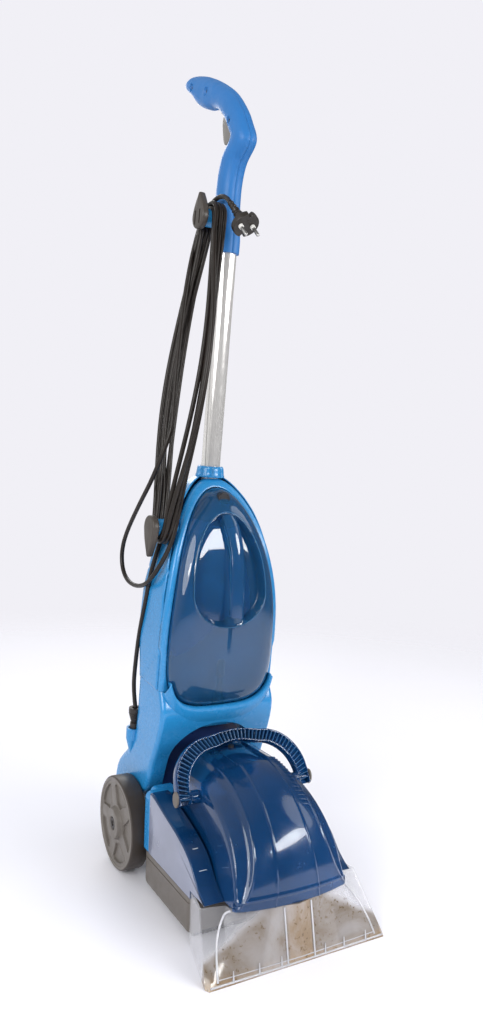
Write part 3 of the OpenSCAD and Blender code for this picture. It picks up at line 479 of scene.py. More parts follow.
tail = smooth_path([(-88, 33, 157), (-89, 37.5, 172), (-90, 41, 192), (-90.5, 36, 243), (-92.4, 24, 285),
                    (-92.4, 12, 324), (-91, 4.5, 365), (-85, 2, 395), (-78, 3, 420)], 8)
turns = winding()
down = [hank(-22.9 - 12 * math.sin(math.pi * t) ** 1.35, SPAN * t, 7) for t in np.linspace(0.96, 0.12, 14)]
slack = smooth_path([(-75.5, -35, 440), (-78, -36, 428), (-82, -34, 410), (-90, -29, 388), (-97, -16, 364),
                     (-99, 8, 347), (-99, 45, 339), (-99, 78, 343), (-98.5, 98, 360), (-98, 101, 384),
                     (-98, 84, 414), (-98, 46, 457), (-97, 12, 494), (-92.5, -6, 528)], 8)
rise = smooth_path([hank(-7, 135, -14.5), hank(1, 180, -15.5), hank(11, 240, -15.5), hank(22, 310, -14),
                    hank(29, 370, -10.5), hank(31.5, SPAN - 18, -6), hank(29, SPAN + 9, -2.5),
                    hank(17, SPAN + 26, 0.5), hank(-1, SPAN + 33, 3), hank(-17, SPAN + 29, 4.5),
                    np.array([-23.5, -20, 877.5])], 8)
line = relax(even(np.concatenate([tail[:-1], turns, down, slack, rise]), 5.0), 10, 3)
line = even(line, 5.0)
line = upright_frame(line)
curve = bpy.data.curves.new("mains_cord", "CURVE")
curve.dimensions = "3D"
spline = curve.splines.new("POLY")
spline.points.add(len(line) - 1)
spline.points.foreach_set("co", np.concatenate([line, np.ones((len(line), 1))], 1).ravel())
curve.bevel_depth, curve.bevel_resolution = CORD_D / 2000, 4
curve.use_fill_caps = True
cord = bpy.data.objects.new("mains_cord", curve)
scene.collection.objects.link(cord)
s = Shader("cord sheath")
s.set(Base_Color=s.mix(s.noise(60, 3), rgb(24, 19, 16), rgb(40, 33, 28)), Specular_IOR_Level=0.35)
s.set(Roughness=s.noise(180, 3).ramp(0.3, 0.7, 0.32, 0.46))
s.bump(s.noise(900, 2), 0.00004, 0.4)
curve.materials.append(s.m)
CORD = s.m

# ---------- plug ----------

PLUG = np.array([-12.0, -42.0, 850.0])
WAY = np.array([0.15, -0.68, -0.71])
WAY /= np.linalg.norm(WAY)
SIDE = np.cross(WAY, [0.1, 0.3, 1.0])
SIDE /= np.linalg.norm(SIDE)
SIDE = SIDE * math.cos(0.5) + np.cross(WAY, SIDE) * math.sin(0.5)
TALL = np.cross(WAY, SIDE)


def in_plug(p):
    """Plug pieces: z along the pins, x through both pins, from the disc's rear face."""
    p = np.asarray(p, float)
    return upright_frame(PLUG + p[..., :1] * SIDE + p[..., 1:2] * TALL + p[..., 2:3] * WAY)


t = np.linspace(0, 2 * math.pi, 96, endpoint=False)
disc_line = []
for a in t:
    notch = max(0, 1 - abs(math.remainder(a - math.pi / 2, math.pi)) / 0.17)
    disc_line.append((math.cos(a) * (19.2 - 4.2 * min(1, notch * 1.6)),
                      math.sin(a) * (17.6 - 4.2 * min(1, notch * 1.6))))
disc = slab(disc_line, 0, 8.6, 1.4, 4, axis="z")
collars = [turned_piece(round_profile([(8.4, 0), (8.4, 3.4), (12.6, 3.3), (12.6, 0)], 0.4), "z", 40, (x, 0, 0))
           for x in (-9.5, 9.5)]
pins = [turned_piece(round_profile([(8, 0), (8, 2.35), (26.5, 2.3), (28, 1.2), (28, 0)], 0.5), "z", 40,
                     (x, 0, 0)) for x in (-9.5, 9.5)]
v, f = joined(disc)
plug_disc = add("plug_disc", v, f, BLACK, "upright", place=in_plug, replaces="plug_body")
v, f = joined(*pins)
plug_pins = add("plug_prongs", v, f, STEEL, "upright", place=in_plug, replaces="plug_pins")
WHITE = plastic("white collar", rgb(232, 230, 226), 0.35).m
v, f = joined(*collars)
plug_collars = add("plug_collars", v, f, WHITE, "upright", place=in_plug)
# the relief: a ribbed cone that bends from the disc's rear up to the cord
neck = smooth_path([PLUG - WAY * -2, PLUG - WAY * 8, PLUG - WAY * 18 + np.array([-1.5, 0, 0]),
                    np.array([-23.5, -20, 877.5]) + np.array([3.5, -6.5, -8.2]),
                    np.array([-23.5, -20, 877.5])], 14)
neck = even(neck, 0.8)


def tube_rings(path, radii, n=24):
    """Rings round a line, each with its own radius or list of radii."""
    p = np.array(path, float)
    d = np.gradient(p, axis=0)
    d /= np.linalg.norm(d, axis=1)[:, None]
    u = np.cross(d[0], [0.3, 0.2, 1.0])
    u /= np.linalg.norm(u)
    a = np.linspace(0, 2 * math.pi, n, endpoint=False)
    rings = []
    for i in range(len(p)):
        u = u - d[i] * np.dot(u, d[i])
        u /= np.linalg.norm(u)
        w = np.cross(d[i], u)
        r = radii[i] if np.ndim(radii[i]) else np.full(n, radii[i])
        rings.append(p[i] + (np.cos(a) * r)[:, None] * u + (np.sin(a) * r)[:, None] * w)
    return rings


q = np.linspace(0, 1, len(neck))
radii = 8.8 - 4.6 * np.clip(q * 1.15, 0, 1) ** 0.8 - 0.9 * ((q > 0.45) & (np.sin(q * 46) > 0.3))
v, f = grid(tube_rings(neck, list(radii), 28), caps="ab")
plug_relief = add("plug_relief", v, f, BLACK, "upright")
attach(cord, "upright")
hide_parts("cord_tail", "cord_hank", "cord_slack", "cord_lead")

# ---------- the upright's outline against height ----------

SEAM, TOP, FRONT, RING_T = 210.0, 503.0, 51.3, 12.0
EGG_W, EGG_MID, EGG_UP, EGG_DOWN = 82.0, 271.0, 218.6, 85.0
TUBE_Y, TUBE_R = 22.0, 13.75


def table(rows, soften=9):
    z = np.arange(rows[0][0], rows[-1][0] + 0.5, 1.0)
    v = np.interp(z, [r[0] for r in rows], [r[1] for r in rows])
    k = np.exp(-0.5 * (np.arange(-30, 31) / soften) ** 2)
    v2 = np.convolve(np.pad(v, 30, mode="reflect", reflect_type="odd"), k / k.sum(), mode="valid")
    return lambda q: np.interp(q, z, v2)


side_at = table([(-20, 92.4), (88, 92.4), (210, 89), (340, 88), (394, 79), (433, 68.4), (455, 60), (475, 48),
                 (490, 35), (503, 21)], 5)
rear_at = table([(-20, 60), (18, 92), (48, 88), (75, 70), (98, 50), (123, 43), (160, 43), (210, 47), (262, 57),
                 (290, 61.5), (340, 57), (394, 53), (503, 48)], 7)
front_at = table([(-20, 2), (10, 10), (25, 4), (47, -18), (60, -30), (75, -36), (92, -40), (115, -48),
                  (141, -57), (164, -63), (185, -65),
                  (210, -51.3)], 6)


def rim_y(z):
    z = np.asarray(z, float)
    d = np.maximum(z - 310, 0)
    return -FRONT + 348 - np.sqrt(348.0 ** 2 - d ** 2)


def round_rect(w, front, rear, rf, rr, n=20, closed=True):
    """A rounded plan from the front left corner round the rear to the front right one."""
    pts = []
    for k in range(n + 1):
        a = math.pi / 2 * k / n
        pts.append((-w + rf - rf * math.sin(a), front + rf - rf * math.cos(a)))
    for k in range(n + 1):
        a = math.pi / 2 * k / n
        pts.append((-w + rr - rr * math.cos(a), rear - rr + rr * math.sin(a)))
    half = np.array(pts)
    other = half[::-1] * [-1, 1]
    mid = np.linspace(half[-1], other[0], 12)[1:-1]
    side = np.linspace(half[n], half[n + 1], 10)[1:-1]
    half = np.concatenate([half[:n + 1], side, half[n + 1:]])
    other = half[::-1] * [-1, 1]
    front_line = np.linspace(other[-1], half[0], 14)[1:-1]
    return np.concatenate([half, mid, other, front_line]) if closed else np.concatenate([half, mid, other])


def groove(d, width, depth):
    """Depth of a rounded groove at distance d from its middle."""
    return depth * np.clip(1 - (np.asarray(d) / (width / 2)) ** 2, 0, 1) ** 0.5


def finish(ob, thick=None, bevel=0, segments=2, sub=0, offset=-1, limit=40):
    if thick:
        m = ob.modifiers.new("wall", "SOLIDIFY")
        m.thickness, m.offset, m.use_even_offset = thick / 1000, offset, False
    if bevel:
        m = ob.modifiers.new("edges", "BEVEL")
        m.width, m.segments, m.limit_method, m.angle_limit = bevel / 1000, segments, "ANGLE", math.radians(limit)
    if sub:
        m = ob.modifiers.new("smooth", "SUBSURF")
        m.levels = m.render_levels = sub
    return ob


def bake(ob, angle=35):
    """Applies the modifiers, so that the piece is a plain mesh."""
    dg = bpy.context.evaluated_depsgraph_get()
    me = bpy.data.meshes.new_from_object(ob.evaluated_get(dg))
    old = ob.data
    ob.modifiers.clear()
    ob.data = me
    me.name = old.name
    shade(ob, angle)
    return ob


def cut(ob, *tools):
    """Takes solids given as (points, faces) out of a piece."""
    for v, f in tools:
        me = bpy.data.meshes.new("cutter")
        me.from_pydata([tuple(q) for q in v], [], f)
        bm = bmesh.new()
        bm.from_mesh(me)
        bmesh.ops.remove_doubles(bm, verts=bm.verts, dist=1e-6)
        bmesh.ops.recalc_face_normals(bm, faces=bm.faces)
        bm.to_mesh(me)
        bm.free()
        tool = bpy.data.objects.new("cutter", me)
        scene.collection.objects.link(tool)
        m = ob.modifiers.new("cut", "BOOLEAN")
        m.operation, m.solver, m.object = "DIFFERENCE", "EXACT", tool
        bake(ob)
        bpy.data.objects.remove(tool)
    return ob


def prism(outline, t0, t1, axis="y"):
    """A plain prism from an outline of (u, v) points."""
    o = np.array(outline, float)
    out = []
    for t in (t0, t1):
        c = np.full(len(o), t)
        out.append(on_axis(axis, c, o[:, 0], o[:, 1]))
    n = len(o)
    v = np.concatenate(out)
    f = [(j, (j + 1) % n, n + (j + 1) % n, n + j) for j in range(n)]
    return v, f + [tuple(range(n))[::-1], tuple(range(n, 2 * n))]


# ---------- rear shell ----------

rows = np.concatenate([np.linspace(SEAM + 0.6, 484, 130), np.linspace(485, TOP, 16)])
rings = []
for z in rows:
    w, rear, f = float(side_at(z)), float(rear_at(z)), float(rim_y(z)) + RING_T + 0.2
    top_in = 0 if z < 490 else 7 * (1 - math.sqrt(max(0, 1 - ((z - 490) / 13.2) ** 2)))
    w, rear = w - top_in, rear - top_in
    rr = min(38 - max(0, (z - 400) / 6), rear - f - 1)
    ring = round_rect(w, f, rear, 0.01, rr, 20, closed=False)
    ring = np.concatenate([ring, np.full((len(ring), 1), z)], 1)
    # moulded grooves on the left and right flanks
    g = groove(ring[:, 2] - (372 - 0.1 * (ring[:, 1] + 10)), 6.0, 1.2) * (ring[:, 1] < 40)
    slope = ring[:, 2] - (252 - 0.95 * (ring[:, 1] + 30))
    g = g + groove(slope, 6.5, 1.1) * (ring[:, 2] < 268)
    for s in (-1, 1):
        k = (ring[:, 0] * s > 0) & (np.abs(ring[:, 0]) > 30)
        ring[k, 0] -= s * g[k]
    rings.append(ring)
last = rings[-1]
for q in (0.25, 0.6, 1.0):
    d = last[:, :2] - [0, TUBE_Y]
    r = np.linalg.norm(d, axis=1)[:, None]
    rings.append(np.concatenate([[0, TUBE_Y] + d / r * (r * (1 - q) + (TUBE_R + 0.4) * q), last[:, 2:]], 1))
v, f = grid(rings, close_u=False)
shell = add("rear_shell_skin", v, f, BLUE, "upright", replaces="rear_shell")
finish(shell, thick=2.6)

# ---------- ring round the clean tank ----------


def egg(w, up, down, a):
    """Egg outline at angle a (0 is the right side): an ellipse above, squarer below."""
    c, s = math.cos(a), math.sin(a)
    if s >= 0:
        return w * c, EGG_MID + up * s
    e = 2 / 3.5
    return w * math.copysign(abs(c) ** e, c), EGG_MID - down * abs(s) ** e


angles = np.concatenate([np.linspace(-math.pi / 2, 0, 60)[:-1], np.linspace(0, math.pi, 140)[:-1],
                         np.linspace(math.pi, 1.5 * math.pi, 60)[:-1]])


def outer_edge(a):
    """The ring's outer edge follows the shell's side and its rounded top."""
    x, z = egg(EGG_W + 0.6, EGG_UP + 0.8, EGG_DOWN + 1, a)
    if math.sin(a) >= 0:
        return 91.6 * math.cos(a), EGG_MID + 232 * math.sin(a)
    w = float(side_at(max(SEAM, z))) + 0.4
    return math.copysign(w, x), max(z, SEAM + 0.6)


inner, outer = [], []
for a in np.linspace(-0.62, math.pi + 0.62, 220):
    x, z = egg(EGG_W + 0.7, EGG_UP + 0.9, EGG_DOWN + 1, a)
    z = max(z, SEAM + 0.6)
    xo, zo = outer_edge(a)
    if a < 0 or a > math.pi:
        zo = z
    inner.append((x, z))
    outer.append((xo, zo))
inner, outer = np.array(inner), np.array(outer)
cross = [(0, 10.5), (0, 1.2), (0.02, 0.5), (0.08, 0.05), (0.3, -0.3), (0.6, 0.0), (0.78, 0.7), (0.9, 1.9),
         (0.97, 3.6), (1.0, 6.0), (1.0, 12.0)]
rings = []
for q, depth in cross:
    p = inner * (1 - q) + outer * q
    rings.append(np.stack([p[:, 0], rim_y(p[:, 1]) + depth, p[:, 1]], -1))
v, f = grid(rings, close_u=False)
ring = add("ring_skin", v, f, BLUE, "upright", replaces="front_ring")
finish(ring, thick=2.0)

# ---------- lower body: both arms, the arch and the bowl under the tank ----------

rows = np.concatenate([np.linspace(18, 200, 120), np.linspace(202, SEAM, 8)])
rings = []
for z in rows:
    w, f, rear = float(side_at(z)), float(front_at(z)), float(rear_at(z))
    corner = float(np.interp(z, [-20, 61, 98, 115], [12, 14, 30, 33]))
    ring = round_rect(w, f, rear, min(7, (rear - f) / 3), min(corner, (rear - f) / 2), 14)
    ring = np.concatenate([ring, np.full((len(ring), 1), z)], 1)
    rings.append(ring)
v, f = grid(rings)
yoke = add("lower_body", v, f, BLUE, "upright", replaces=("yoke", "rear_cover"))
finish(yoke, thick=3.0)
bake(yoke)
arc = [(67.0 * math.cos(a), 108 + 53 * math.sin(a)) for a in np.linspace(0, math.pi, 60)]
v, f = prism([(67, 0)] + arc + [(-67, 0)], -130, 18)
cut(yoke, (upright_frame(v), f))
# the tank's bowl cuts the front down to the egg outline
tank_cut = [egg(EGG_W + 1.2, EGG_UP, EGG_DOWN + 1.2, a) for a in np.linspace(-math.pi, 0, 60)]
tank_cut += [(EGG_W + 1.2, 300), (-EGG_W - 1.2, 300)]
v, f = prism(tank_cut, -130, 20)
cut(yoke, (upright_frame(v), f))


# bowl that carries the tank: it stands out of the body's front and follows the egg's lower edge
BOWL_LOW = EGG_DOWN + 29
rings = []
span = np.linspace(math.pi + 0.33, 2 * math.pi - 0.33, 120)
for q, out in ((0.0, 4.0), (0.0, 12.2), (0.02, 13.2), (0.08, 13.6), (0.2, 13.3), (0.4, 12.0), (0.6, 10.0),
               (0.8, 7.4), (0.94, 5.0), (1.0, 2.6), (1.0, -8.0)):
    down = EGG_DOWN + 1.4 + (BOWL_LOW - EGG_DOWN) * q
    w = EGG_W + 1.4 + 2.0 * q
    p = np.array([egg(w, EGG_UP, down, a) for a in span])
    rings.append(np.stack([p[:, 0], np.full(len(p), -FRONT - out), p[:, 1]], -1))
v, f = grid(rings, close_u=False)
bowl = add("tank_bowl", v, f, BLUE, "upright")
finish(bowl, thick=2.4)

# boss that the cord's relief stands in
prof = round_profile([(-46, 0), (-44, 3.2), (-16, 11.0), (-0.6, 11.4), (0.4, 11.4), (0.6, 10.6), (0.4, 7.2),
                      (-13.8, 6.9), (-13.8, 0)], 0.8)
v, f = turned_piece(prof, "z", 64, (-88, 33, 126))
add("cord_boss", v, f, BLUE, "upright")


# ---------- clean tank ----------

BULGE = 24.0


def egg_inset(d, a):
    """Egg outline at angle a, moved in by d."""
    return egg(max(EGG_W - d, 0.6), max(EGG_UP - d, 1), max(EGG_DOWN - d, 1), a)


def dome(d):
    """How far the face stands out of the rim at distance d from its edge."""
    q = np.clip(np.asarray(d, float) / 38, 0, 1)
    return BULGE * np.sqrt(1 - (1 - q) ** 2.2)


GRIP_X, GRIP_Z, GRIP_HALF = 13.0, 350.0, 12.0


def pocket(x, z):
    """Depth of the finger pocket, with the upright bar left standing in it."""
    x, z = np.asarray(x, float), np.asarray(z, float)
    up = np.where(z > GRIP_Z, 108.0, 46.0)
    r = np.sqrt(((x + 2) / 55) ** 2 + ((z - GRIP_Z) / up) ** 2)
    e = np.clip((1.0 - r) / 0.06, 0, 1)
    deep = 15.0 * (e * e * (3 - 2 * e)) ** 0.8 + 2.5 * np.clip(1 - r, 0, 1)
    lip = 0.9 * np.exp(-((r - 1.012) / 0.012) ** 2)
    rise = np.clip((z - 395) / 60, 0, 1.2)
    mid = GRIP_X - 9 * rise ** 2
    half = GRIP_HALF + 2 * rise ** 2 + 2.5 * np.clip((314 - z) / 8, 0, 1)
    b = np.clip(np.abs(x - mid) / half, 0, 1.3)
    bar = np.clip((1 - b) / 0.16, 0, 1)
    bar = bar * bar * (3 - 2 * bar)
    crest = 1.6 + 6.5 * np.clip(b, 0, 1) ** 2
    return deep * (1 - bar) + np.minimum(deep, crest) * bar - lip


angles = np.concatenate([np.linspace(-math.pi, 0, 150)[:-1], np.linspace(0, math.pi, 210)[:-1]])


def egg_w_at(d, z):
    """Half width of the egg, inset by d, at a height."""
    high = (EGG_UP if z > EGG_MID else EGG_DOWN) - d
    q = min(1.0, abs(z - EGG_MID) / max(high, 1.0))
    a = math.asin(q) * (1 if z > EGG_MID else -1)
    return abs(egg_inset(d, a)[0])


rings = []
for back, d in ((-27.5, 24.5), (-28, 22), (-27.5, 18), (-25, 13), (-20, 7.5), (-14, 3.5), (-8, 1.2), (-3, 0.2),
                (0, 0)):
    p = np.array([egg_inset(d, a) for a in angles])
    rings.append(np.stack([p[:, 0], rim_y(p[:, 1]) - back, p[:, 1]], -1))
for d in np.concatenate([np.linspace(0.3, 8, 10), np.linspace(9, 79, 71)]):
    p = np.array([egg_inset(d, a) for a in angles])
    out = dome(d) - pocket(p[:, 0], p[:, 1])
    rings.append(np.stack([p[:, 0], rim_y(p[:, 1]) - out, p[:, 1]], -1))
front_count = len(rings)
v, f = grid(rings)
n = len(angles)
k = (front_count - 1) * n
f = list(f) + [tuple(range(k, k + n))[::-1]]
# flat back of the tank
f.append(tuple(range(0, n)))
tank = add("clean_tank_skin", v, f, BLUE, "clean_tank", replaces="clean_tank", smooth=50)


def clear(name, tint, see=0.6, rough=0.05, film=0.12):
    """Clear tinted moulding: part light passes, part shows its own colour, under a glossy skin."""
    s = Shader(name)
    m = s.noise(7, 3, distort=0.5)
    dark = tuple(c * 0.72 for c in tint[:3]) + (1,)
    s.set(Base_Color=s.mix(m.ramp(0.3, 0.7), dark, tint), Transmission_Weight=see, IOR=1.4, Coat_Weight=0.6,
          Coat_Roughness=0.03)
    s.set(Roughness=s.noise(30, 5, 0.6).ramp(0.35, 0.8, rough * 0.6, rough + film))
    s.bump(s.noise(9, 2), 0.0002, 0.05)
    return s


CLEAR_BLUE = clear("clear blue tank", rgb(52, 124, 182), see=0.72).m
tank.data.materials[0] = CLEAR_BLUE
CAVITY = plastic("inner wall", rgb(44, 112, 184), 0.5, grain=0.000001).m

# inner wall of the tank's pocket in the body, seen through the tank
rings = []
for q in np.linspace(0, 1, 12):
    p = np.array([egg(EGG_W - 6 - 70 * q, EGG_UP - 6 - 150 * q, EGG_DOWN - 6 - 60 * q, a) for a in angles])
    rings.append(np.stack([p[:, 0], rim_y(p[:, 1]) + 29 + 4 * q, p[:, 1]], -1))
v, f = grid(rings)
f = list(f) + [tuple(range(11 * n, 12 * n))]
add("cavity_wall", v, f, CAVITY, "upright")

# fine raised lines that edge the pocket and the bar; their lighter blue is painted highlight for the light those
# edges catch
LINE_PAINTED_HIGHLIGHT = clear("moulded edge", rgb(70, 134, 186), see=0.5).m
edges = []
a = np.linspace(0, 2 * math.pi, 160)
hoop = np.stack([-2 + 56 * np.cos(a), GRIP_Z + np.where(np.sin(a) > 0, 110.0, 47.0) * np.sin(a)], 1)
zz = np.linspace(318, 440, 60)
rise = np.clip((zz - 395) / 60, 0, 1.2)
for k in (-1, 1):
    edges.append(np.stack([GRIP_X - 9 * rise ** 2 + k * (GRIP_HALF - 1.2 + 2 * rise ** 2), zz], 1))
made = []
for line in [hoop] + edges:
    path = []
    for x, z in line:
        best = min(np.linspace(1, 78, 200), key=lambda d: abs(egg_w_at(d, z) - abs(x)))
        path.append((x, float(rim_y(z)) - float(dome(best) - pocket(x, z)) - 0.1, z))
    made.append(grid(tube_rings(path, [0.6] * len(path), 10), caps="ab"))
v, f = joined(*made)
add("tank_lines", v, f, LINE_PAINTED_HIGHLIGHT, "clean_tank")

# valve stem that stands inside the tank over its cap
v, f = turned_piece(round_profile([(195, 0), (195, 8), (202, 8), (204, 4.5), (226, 4.5), (228, 7), (246, 7),
                                   (252, 3), (252, 0)], 0.8), "z", 40, (0, -45, 0))
add("valve_stem", v, f, DARK, "clean_tank")

# fill cap at the tank's foot and the button near its head
v, f = turned_piece(round_profile([(185.6, 0), (185.6, 12), (194.4, 12), (194.4, 0)], 1), "z", 64, (0, -45, 0))
add("fill_cap_skin", v, f, DARK, "clean_tank", replaces="fill_cap")
BZ = EGG_MID + EGG_UP - 13
by = float(rim_y(BZ)) - 19.5
prof = round_profile([(by + 11, 0), (by + 11, 9.5), (by + 1.5, 9.5), (by - 0.5, 8.2), (by + 0.6, 6.5),
                      (by + 0.9, 0)], 1.2)
v, f = turned_piece(prof, "y", 64, (0, 0, BZ))
add("release_button_skin", v, f, DARK, "release_button", replaces="release_button")

# ---------- tube, collar, handle ----------

s = Shader("chromed tube")
# lengthwise streaks in the colour are painted reflection, standing for the bands of light the tube reflects
streak_painted_reflection = s.noise(6, 2, at=s.stretch(8, 8, 0.4))
s.set(Base_Color=s.mix(streak_painted_reflection, (0.8, 0.78, 0.75, 1), (0.92, 0.9, 0.88, 1)), Metallic=0.6)
s.set(Roughness=s.noise(60, 3).ramp(0.3, 0.7, 0.1, 0.2))
s.bump(s.noise(500, 2, at=s.stretch(1, 1, 0.05)), 0.00001, 0.3)
CHROME = s.m
prof = [(470, TUBE_R - 1.2), (470, TUBE_R), (838, TUBE_R), (838, TUBE_R - 1.2), (470, TUBE_R - 1.2)]
v, f = grid(lathe(round_profile(prof, 0.3), "z", 72))
add("tube_skin", v + np.array([0, TUBE_Y, 0]), f, CHROME, "upright", replaces="handle_tube")

t = np.linspace(0, 2 * math.pi, 240, endpoint=False)
rings = []
for z, base_r, flute in ((503.2, 20.5, 0), (504.2, 21.4, 0), (505.4, 21.0, 0.6), (507, 19.6, 1.2),
                         (512, 19.0, 1.2), (516, 18.7, 1.0),
                         (518.2, 18.3, 0.5), (519, 17.6, 0), (519, 15.5, 0), (517.8, 14.3, 0), (505, 14.2, 0),
                         (503.2, 16, 0)):
    r = base_r + flute * np.clip(np.cos(t * 8 + 0.4) * 2.2 + 0.6, -1, 1)
    rings.append(np.stack([r * np.cos(t), TUBE_Y + r * np.sin(t), np.full(240, z)], -1))
v, f = grid(rings, close_v=True)
add("collar_skin", v, f, BLUE, "upright", replaces="tube_collar")

HZ = 820.0
PAIRS = [((6, 0), (38, 0)), ((6, 20), (38, 20)), ((10, 42), (44, 40)), ((12, 66), (50, 64)),
         ((11, 96), (50, 98)), ((2, 120), (42, 132)), ((-21, 144), (21, 154)), ((-4, 177), (25, 163)),
         ((14, 200), (38, 181)), ((40, 225), (60, 201)),
         ((70, 245), (82, 214)), ((107, 265), (110, 221)), ((140, 278), (136, 234)), ((165, 284), (150, 248)),
         ((182, 282), (164, 258)), ((188, 274), (176, 266))]


SCREWS = [(150, 262), (98, 240), (20, 176)]


def handle_half(s, sub=22, n=44):
    """One half of the grip: fine rings with a seam chamfer, and on the left half a sunk well for each screw."""
    a = smooth_path([(0,) + p[0] for p in PAIRS], sub)[:, 1:]
    b = smooth_path([(0,) + p[1] for p in PAIRS], sub)[:, 1:]
    rings = []
    m = len(a)
    u = np.linspace(math.pi, 0, n)
    e = 0.8
    for i in range(m):
        c, d = (a[i] + b[i]) / 2, b[i] - a[i]
        h = np.linalg.norm(d) / 2
        d = d / (2 * h)
        q = i / (m - 1)
        t = max(0, (q - 0.84) / 0.16)
        w = 16.0 * math.sqrt(max(0.04, 1 - t ** 2.4))
        hh = h * np.sign(np.cos(u)) * np.abs(np.cos(u)) ** e
        ww = w * np.abs(np.sin(u)) ** e
        seam = 1.0 * (np.exp(-((u - math.pi) / 0.05) ** 2) + np.exp(-(u / 0.05) ** 2))
        hh = hh - np.sign(np.cos(u)) * seam
        y, z = c[0] + d[0] * hh, c[1] + d[1] * hh
        x = ww + 0.12
        if s < 0:
            for sy, sz in SCREWS:
                r = np.hypot(y - sy, z - sz)
                x = x - 3.4 * np.clip((5.6 - r) / 0.9, 0, 1) + 0.35 * np.exp(-((r - 6.4) / 0.7) ** 2)
        rings.append(np.stack([s * np.maximum(x, 0.12), y, HZ + z], -1))
    return grid(rings, caps="ab")


for s, side in ((-1, "left"), (1, "right")):
    v, f = handle_half(s)
    add("grip_" + side, v, f, GRIP, "upright", replaces="handle_" + side, smooth=42)

# the screws at the bottom of the wells
heads = []
for y, z in SCREWS:
    prof = round_profile([(-9.0, 0), (-9.0, 3.9), (-12.5, 4.1), (-13.3, 3.2), (-13.5, 1.3), (-12.6, 1.1),
                          (-12.6, 0)], 0.3)
    w, g = turned_piece(prof, "x", 36)
    heads.append((w + np.array([0, y, HZ + z]), g))
v, f = joined(*heads)
add("handle_screw_heads", v, f, DARK, "upright", replaces="handle_screws")

# ---------- base ----------

PAN_Z0, PAN_Z1, PAN_Y = 11.0, 56.0, 212.0
BASE_W = 105.7


def box(x0, x1, y0, y1, z0, z1):
    return prism([(x0, y0), (x1, y0), (x1, y1), (x0, y1)], z0, z1, "z")


def plan_ring(w, front, rear, r, z, n=8):
    """A rounded rectangle at height z."""
    p = []
    for cx, cy, a0 in ((w - r, rear - r, 0), (-w + r, rear - r, 90), (-w + r, front + r, 180),
                       (w - r, front + r, 270)):
        for k in range(n + 1):
            a = math.radians(a0 + 90 * k / n)
            p.append((cx + r * math.cos(a), cy + r * math.sin(a), z))
    return np.array(p)


# lower housing: a tray with rounded edges, a lip under its top and the tube for the axle
rings = [plan_ring(BASE_W - 4, -PAN_Y + 4, -76, 6, PAN_Z0),
         plan_ring(BASE_W - 1.6, -PAN_Y + 1.6, -73.6, 7, PAN_Z0 + 1),
         plan_ring(BASE_W - 0.3, -PAN_Y + 0.3, -72.3, 8, PAN_Z0 + 4)]
for z in np.linspace(18, 47, 8):
    rings.append(plan_ring(BASE_W, -PAN_Y, -72, 8, z))
for z, d in ((48, 0), (48.4, 0.9), (49.6, 0.9), (50, 0), (54.5, 0), (55.5, 0.4), (56, 1.4)):
    rings.append(plan_ring(BASE_W - d, -PAN_Y + d, -72 - d, 8 - min(d, 0.8), z))
for z, d in ((56, 3), (53, 3.4), (30, 3.4), (PAN_Z0 + 4, 3.6)):
    rings.append(plan_ring(BASE_W - d, -PAN_Y + d, -72 - d, 5, z))
v, f = grid(rings, caps="ab")
tongue = [plan_ring(58, -76, 19, 5, 11.6), plan_ring(60.6, -78, 21.6, 6, 13), plan_ring(61, -78, 22, 6, 16),
          plan_ring(61, -78, 22, 6, 54), plan_ring(60, -77, 21, 6, 55.6), plan_ring(57, -76, 18, 4, 55.8),
          plan_ring(57, -76, 18, 4, 16)]
parts = [(v, f), grid(tongue, caps="ab")]
boss = turned_piece(round_profile([(-60.8, 0), (-60.8, 14), (60.8, 14), (60.8, 0)], 1.5), "x", 64,
                    (0, 0, AXLE_Z))
parts += [boss, slab([(-13, 52), (13, 52), (13, 64), (-13, 64)], -60.5, 60.5, 1)]
v, f = joined(*parts)
add("pan_skin", v, f, TAUPE, "base", replaces="base_pan")

# blue shoulders: a block with softened edges over each wheel and a narrower block behind it
CREST = 135.0


def shoulder(s):
    out = []
    rows = []
    for y in (-85, -84.6, -83.4, -82, -71, -69.8, -68.4, -68, -67.8):
        edge = max(0, -83.4 - y) * 1.0 + max(0, y + 69.5) * 0.9
        rows.append((y, edge))
    for y, e in rows:
        w = BASE_W - e * 0.8
        line = [(62, PAN_Z1 + 0.2), (w - 1.0, PAN_Z1 + 0.2), (w, PAN_Z1 + 1.2), (w, 96),
                (w - 0.2, CREST - 9 - e)]
        for k in range(9):
            a = math.radians(90 * k / 8)
            line.append((w - 8 + 8 * math.cos(a), CREST - 8 - e + 8 * math.sin(a)))
        line += [(80, CREST - e), (62, CREST - e)]
        out.append(np.array([(s * x, y, z) for x, z in line]))
    a = grid(out, caps="ab")
    inner = []
    for y in (-69, -68.4, -57, -56):
        e = 1.2 if y in (-69, -56) else 0
        line = [(62.5, PAN_Z1 + 0.2), (93.2 - e, PAN_Z1 + 0.2), (93.2 - e, CREST - 8)]
        for k in range(7):
            t = math.radians(90 * k / 6)
            line.append((93.2 - e - 8 + 8 * math.cos(t), CREST - 8 - e + 8 * math.sin(t)))
        line += [(62.5, CREST - e)]
        inner.append(np.array([(s * x, y, z) for x, z in line]))
    return joined(a, grid(inner, caps="ab"))


v, f = joined(shoulder(1), shoulder(-1))
add("shoulder_skin", v, f, BLUE, "base", replaces="base_cover")

# ---------- wheels ----------

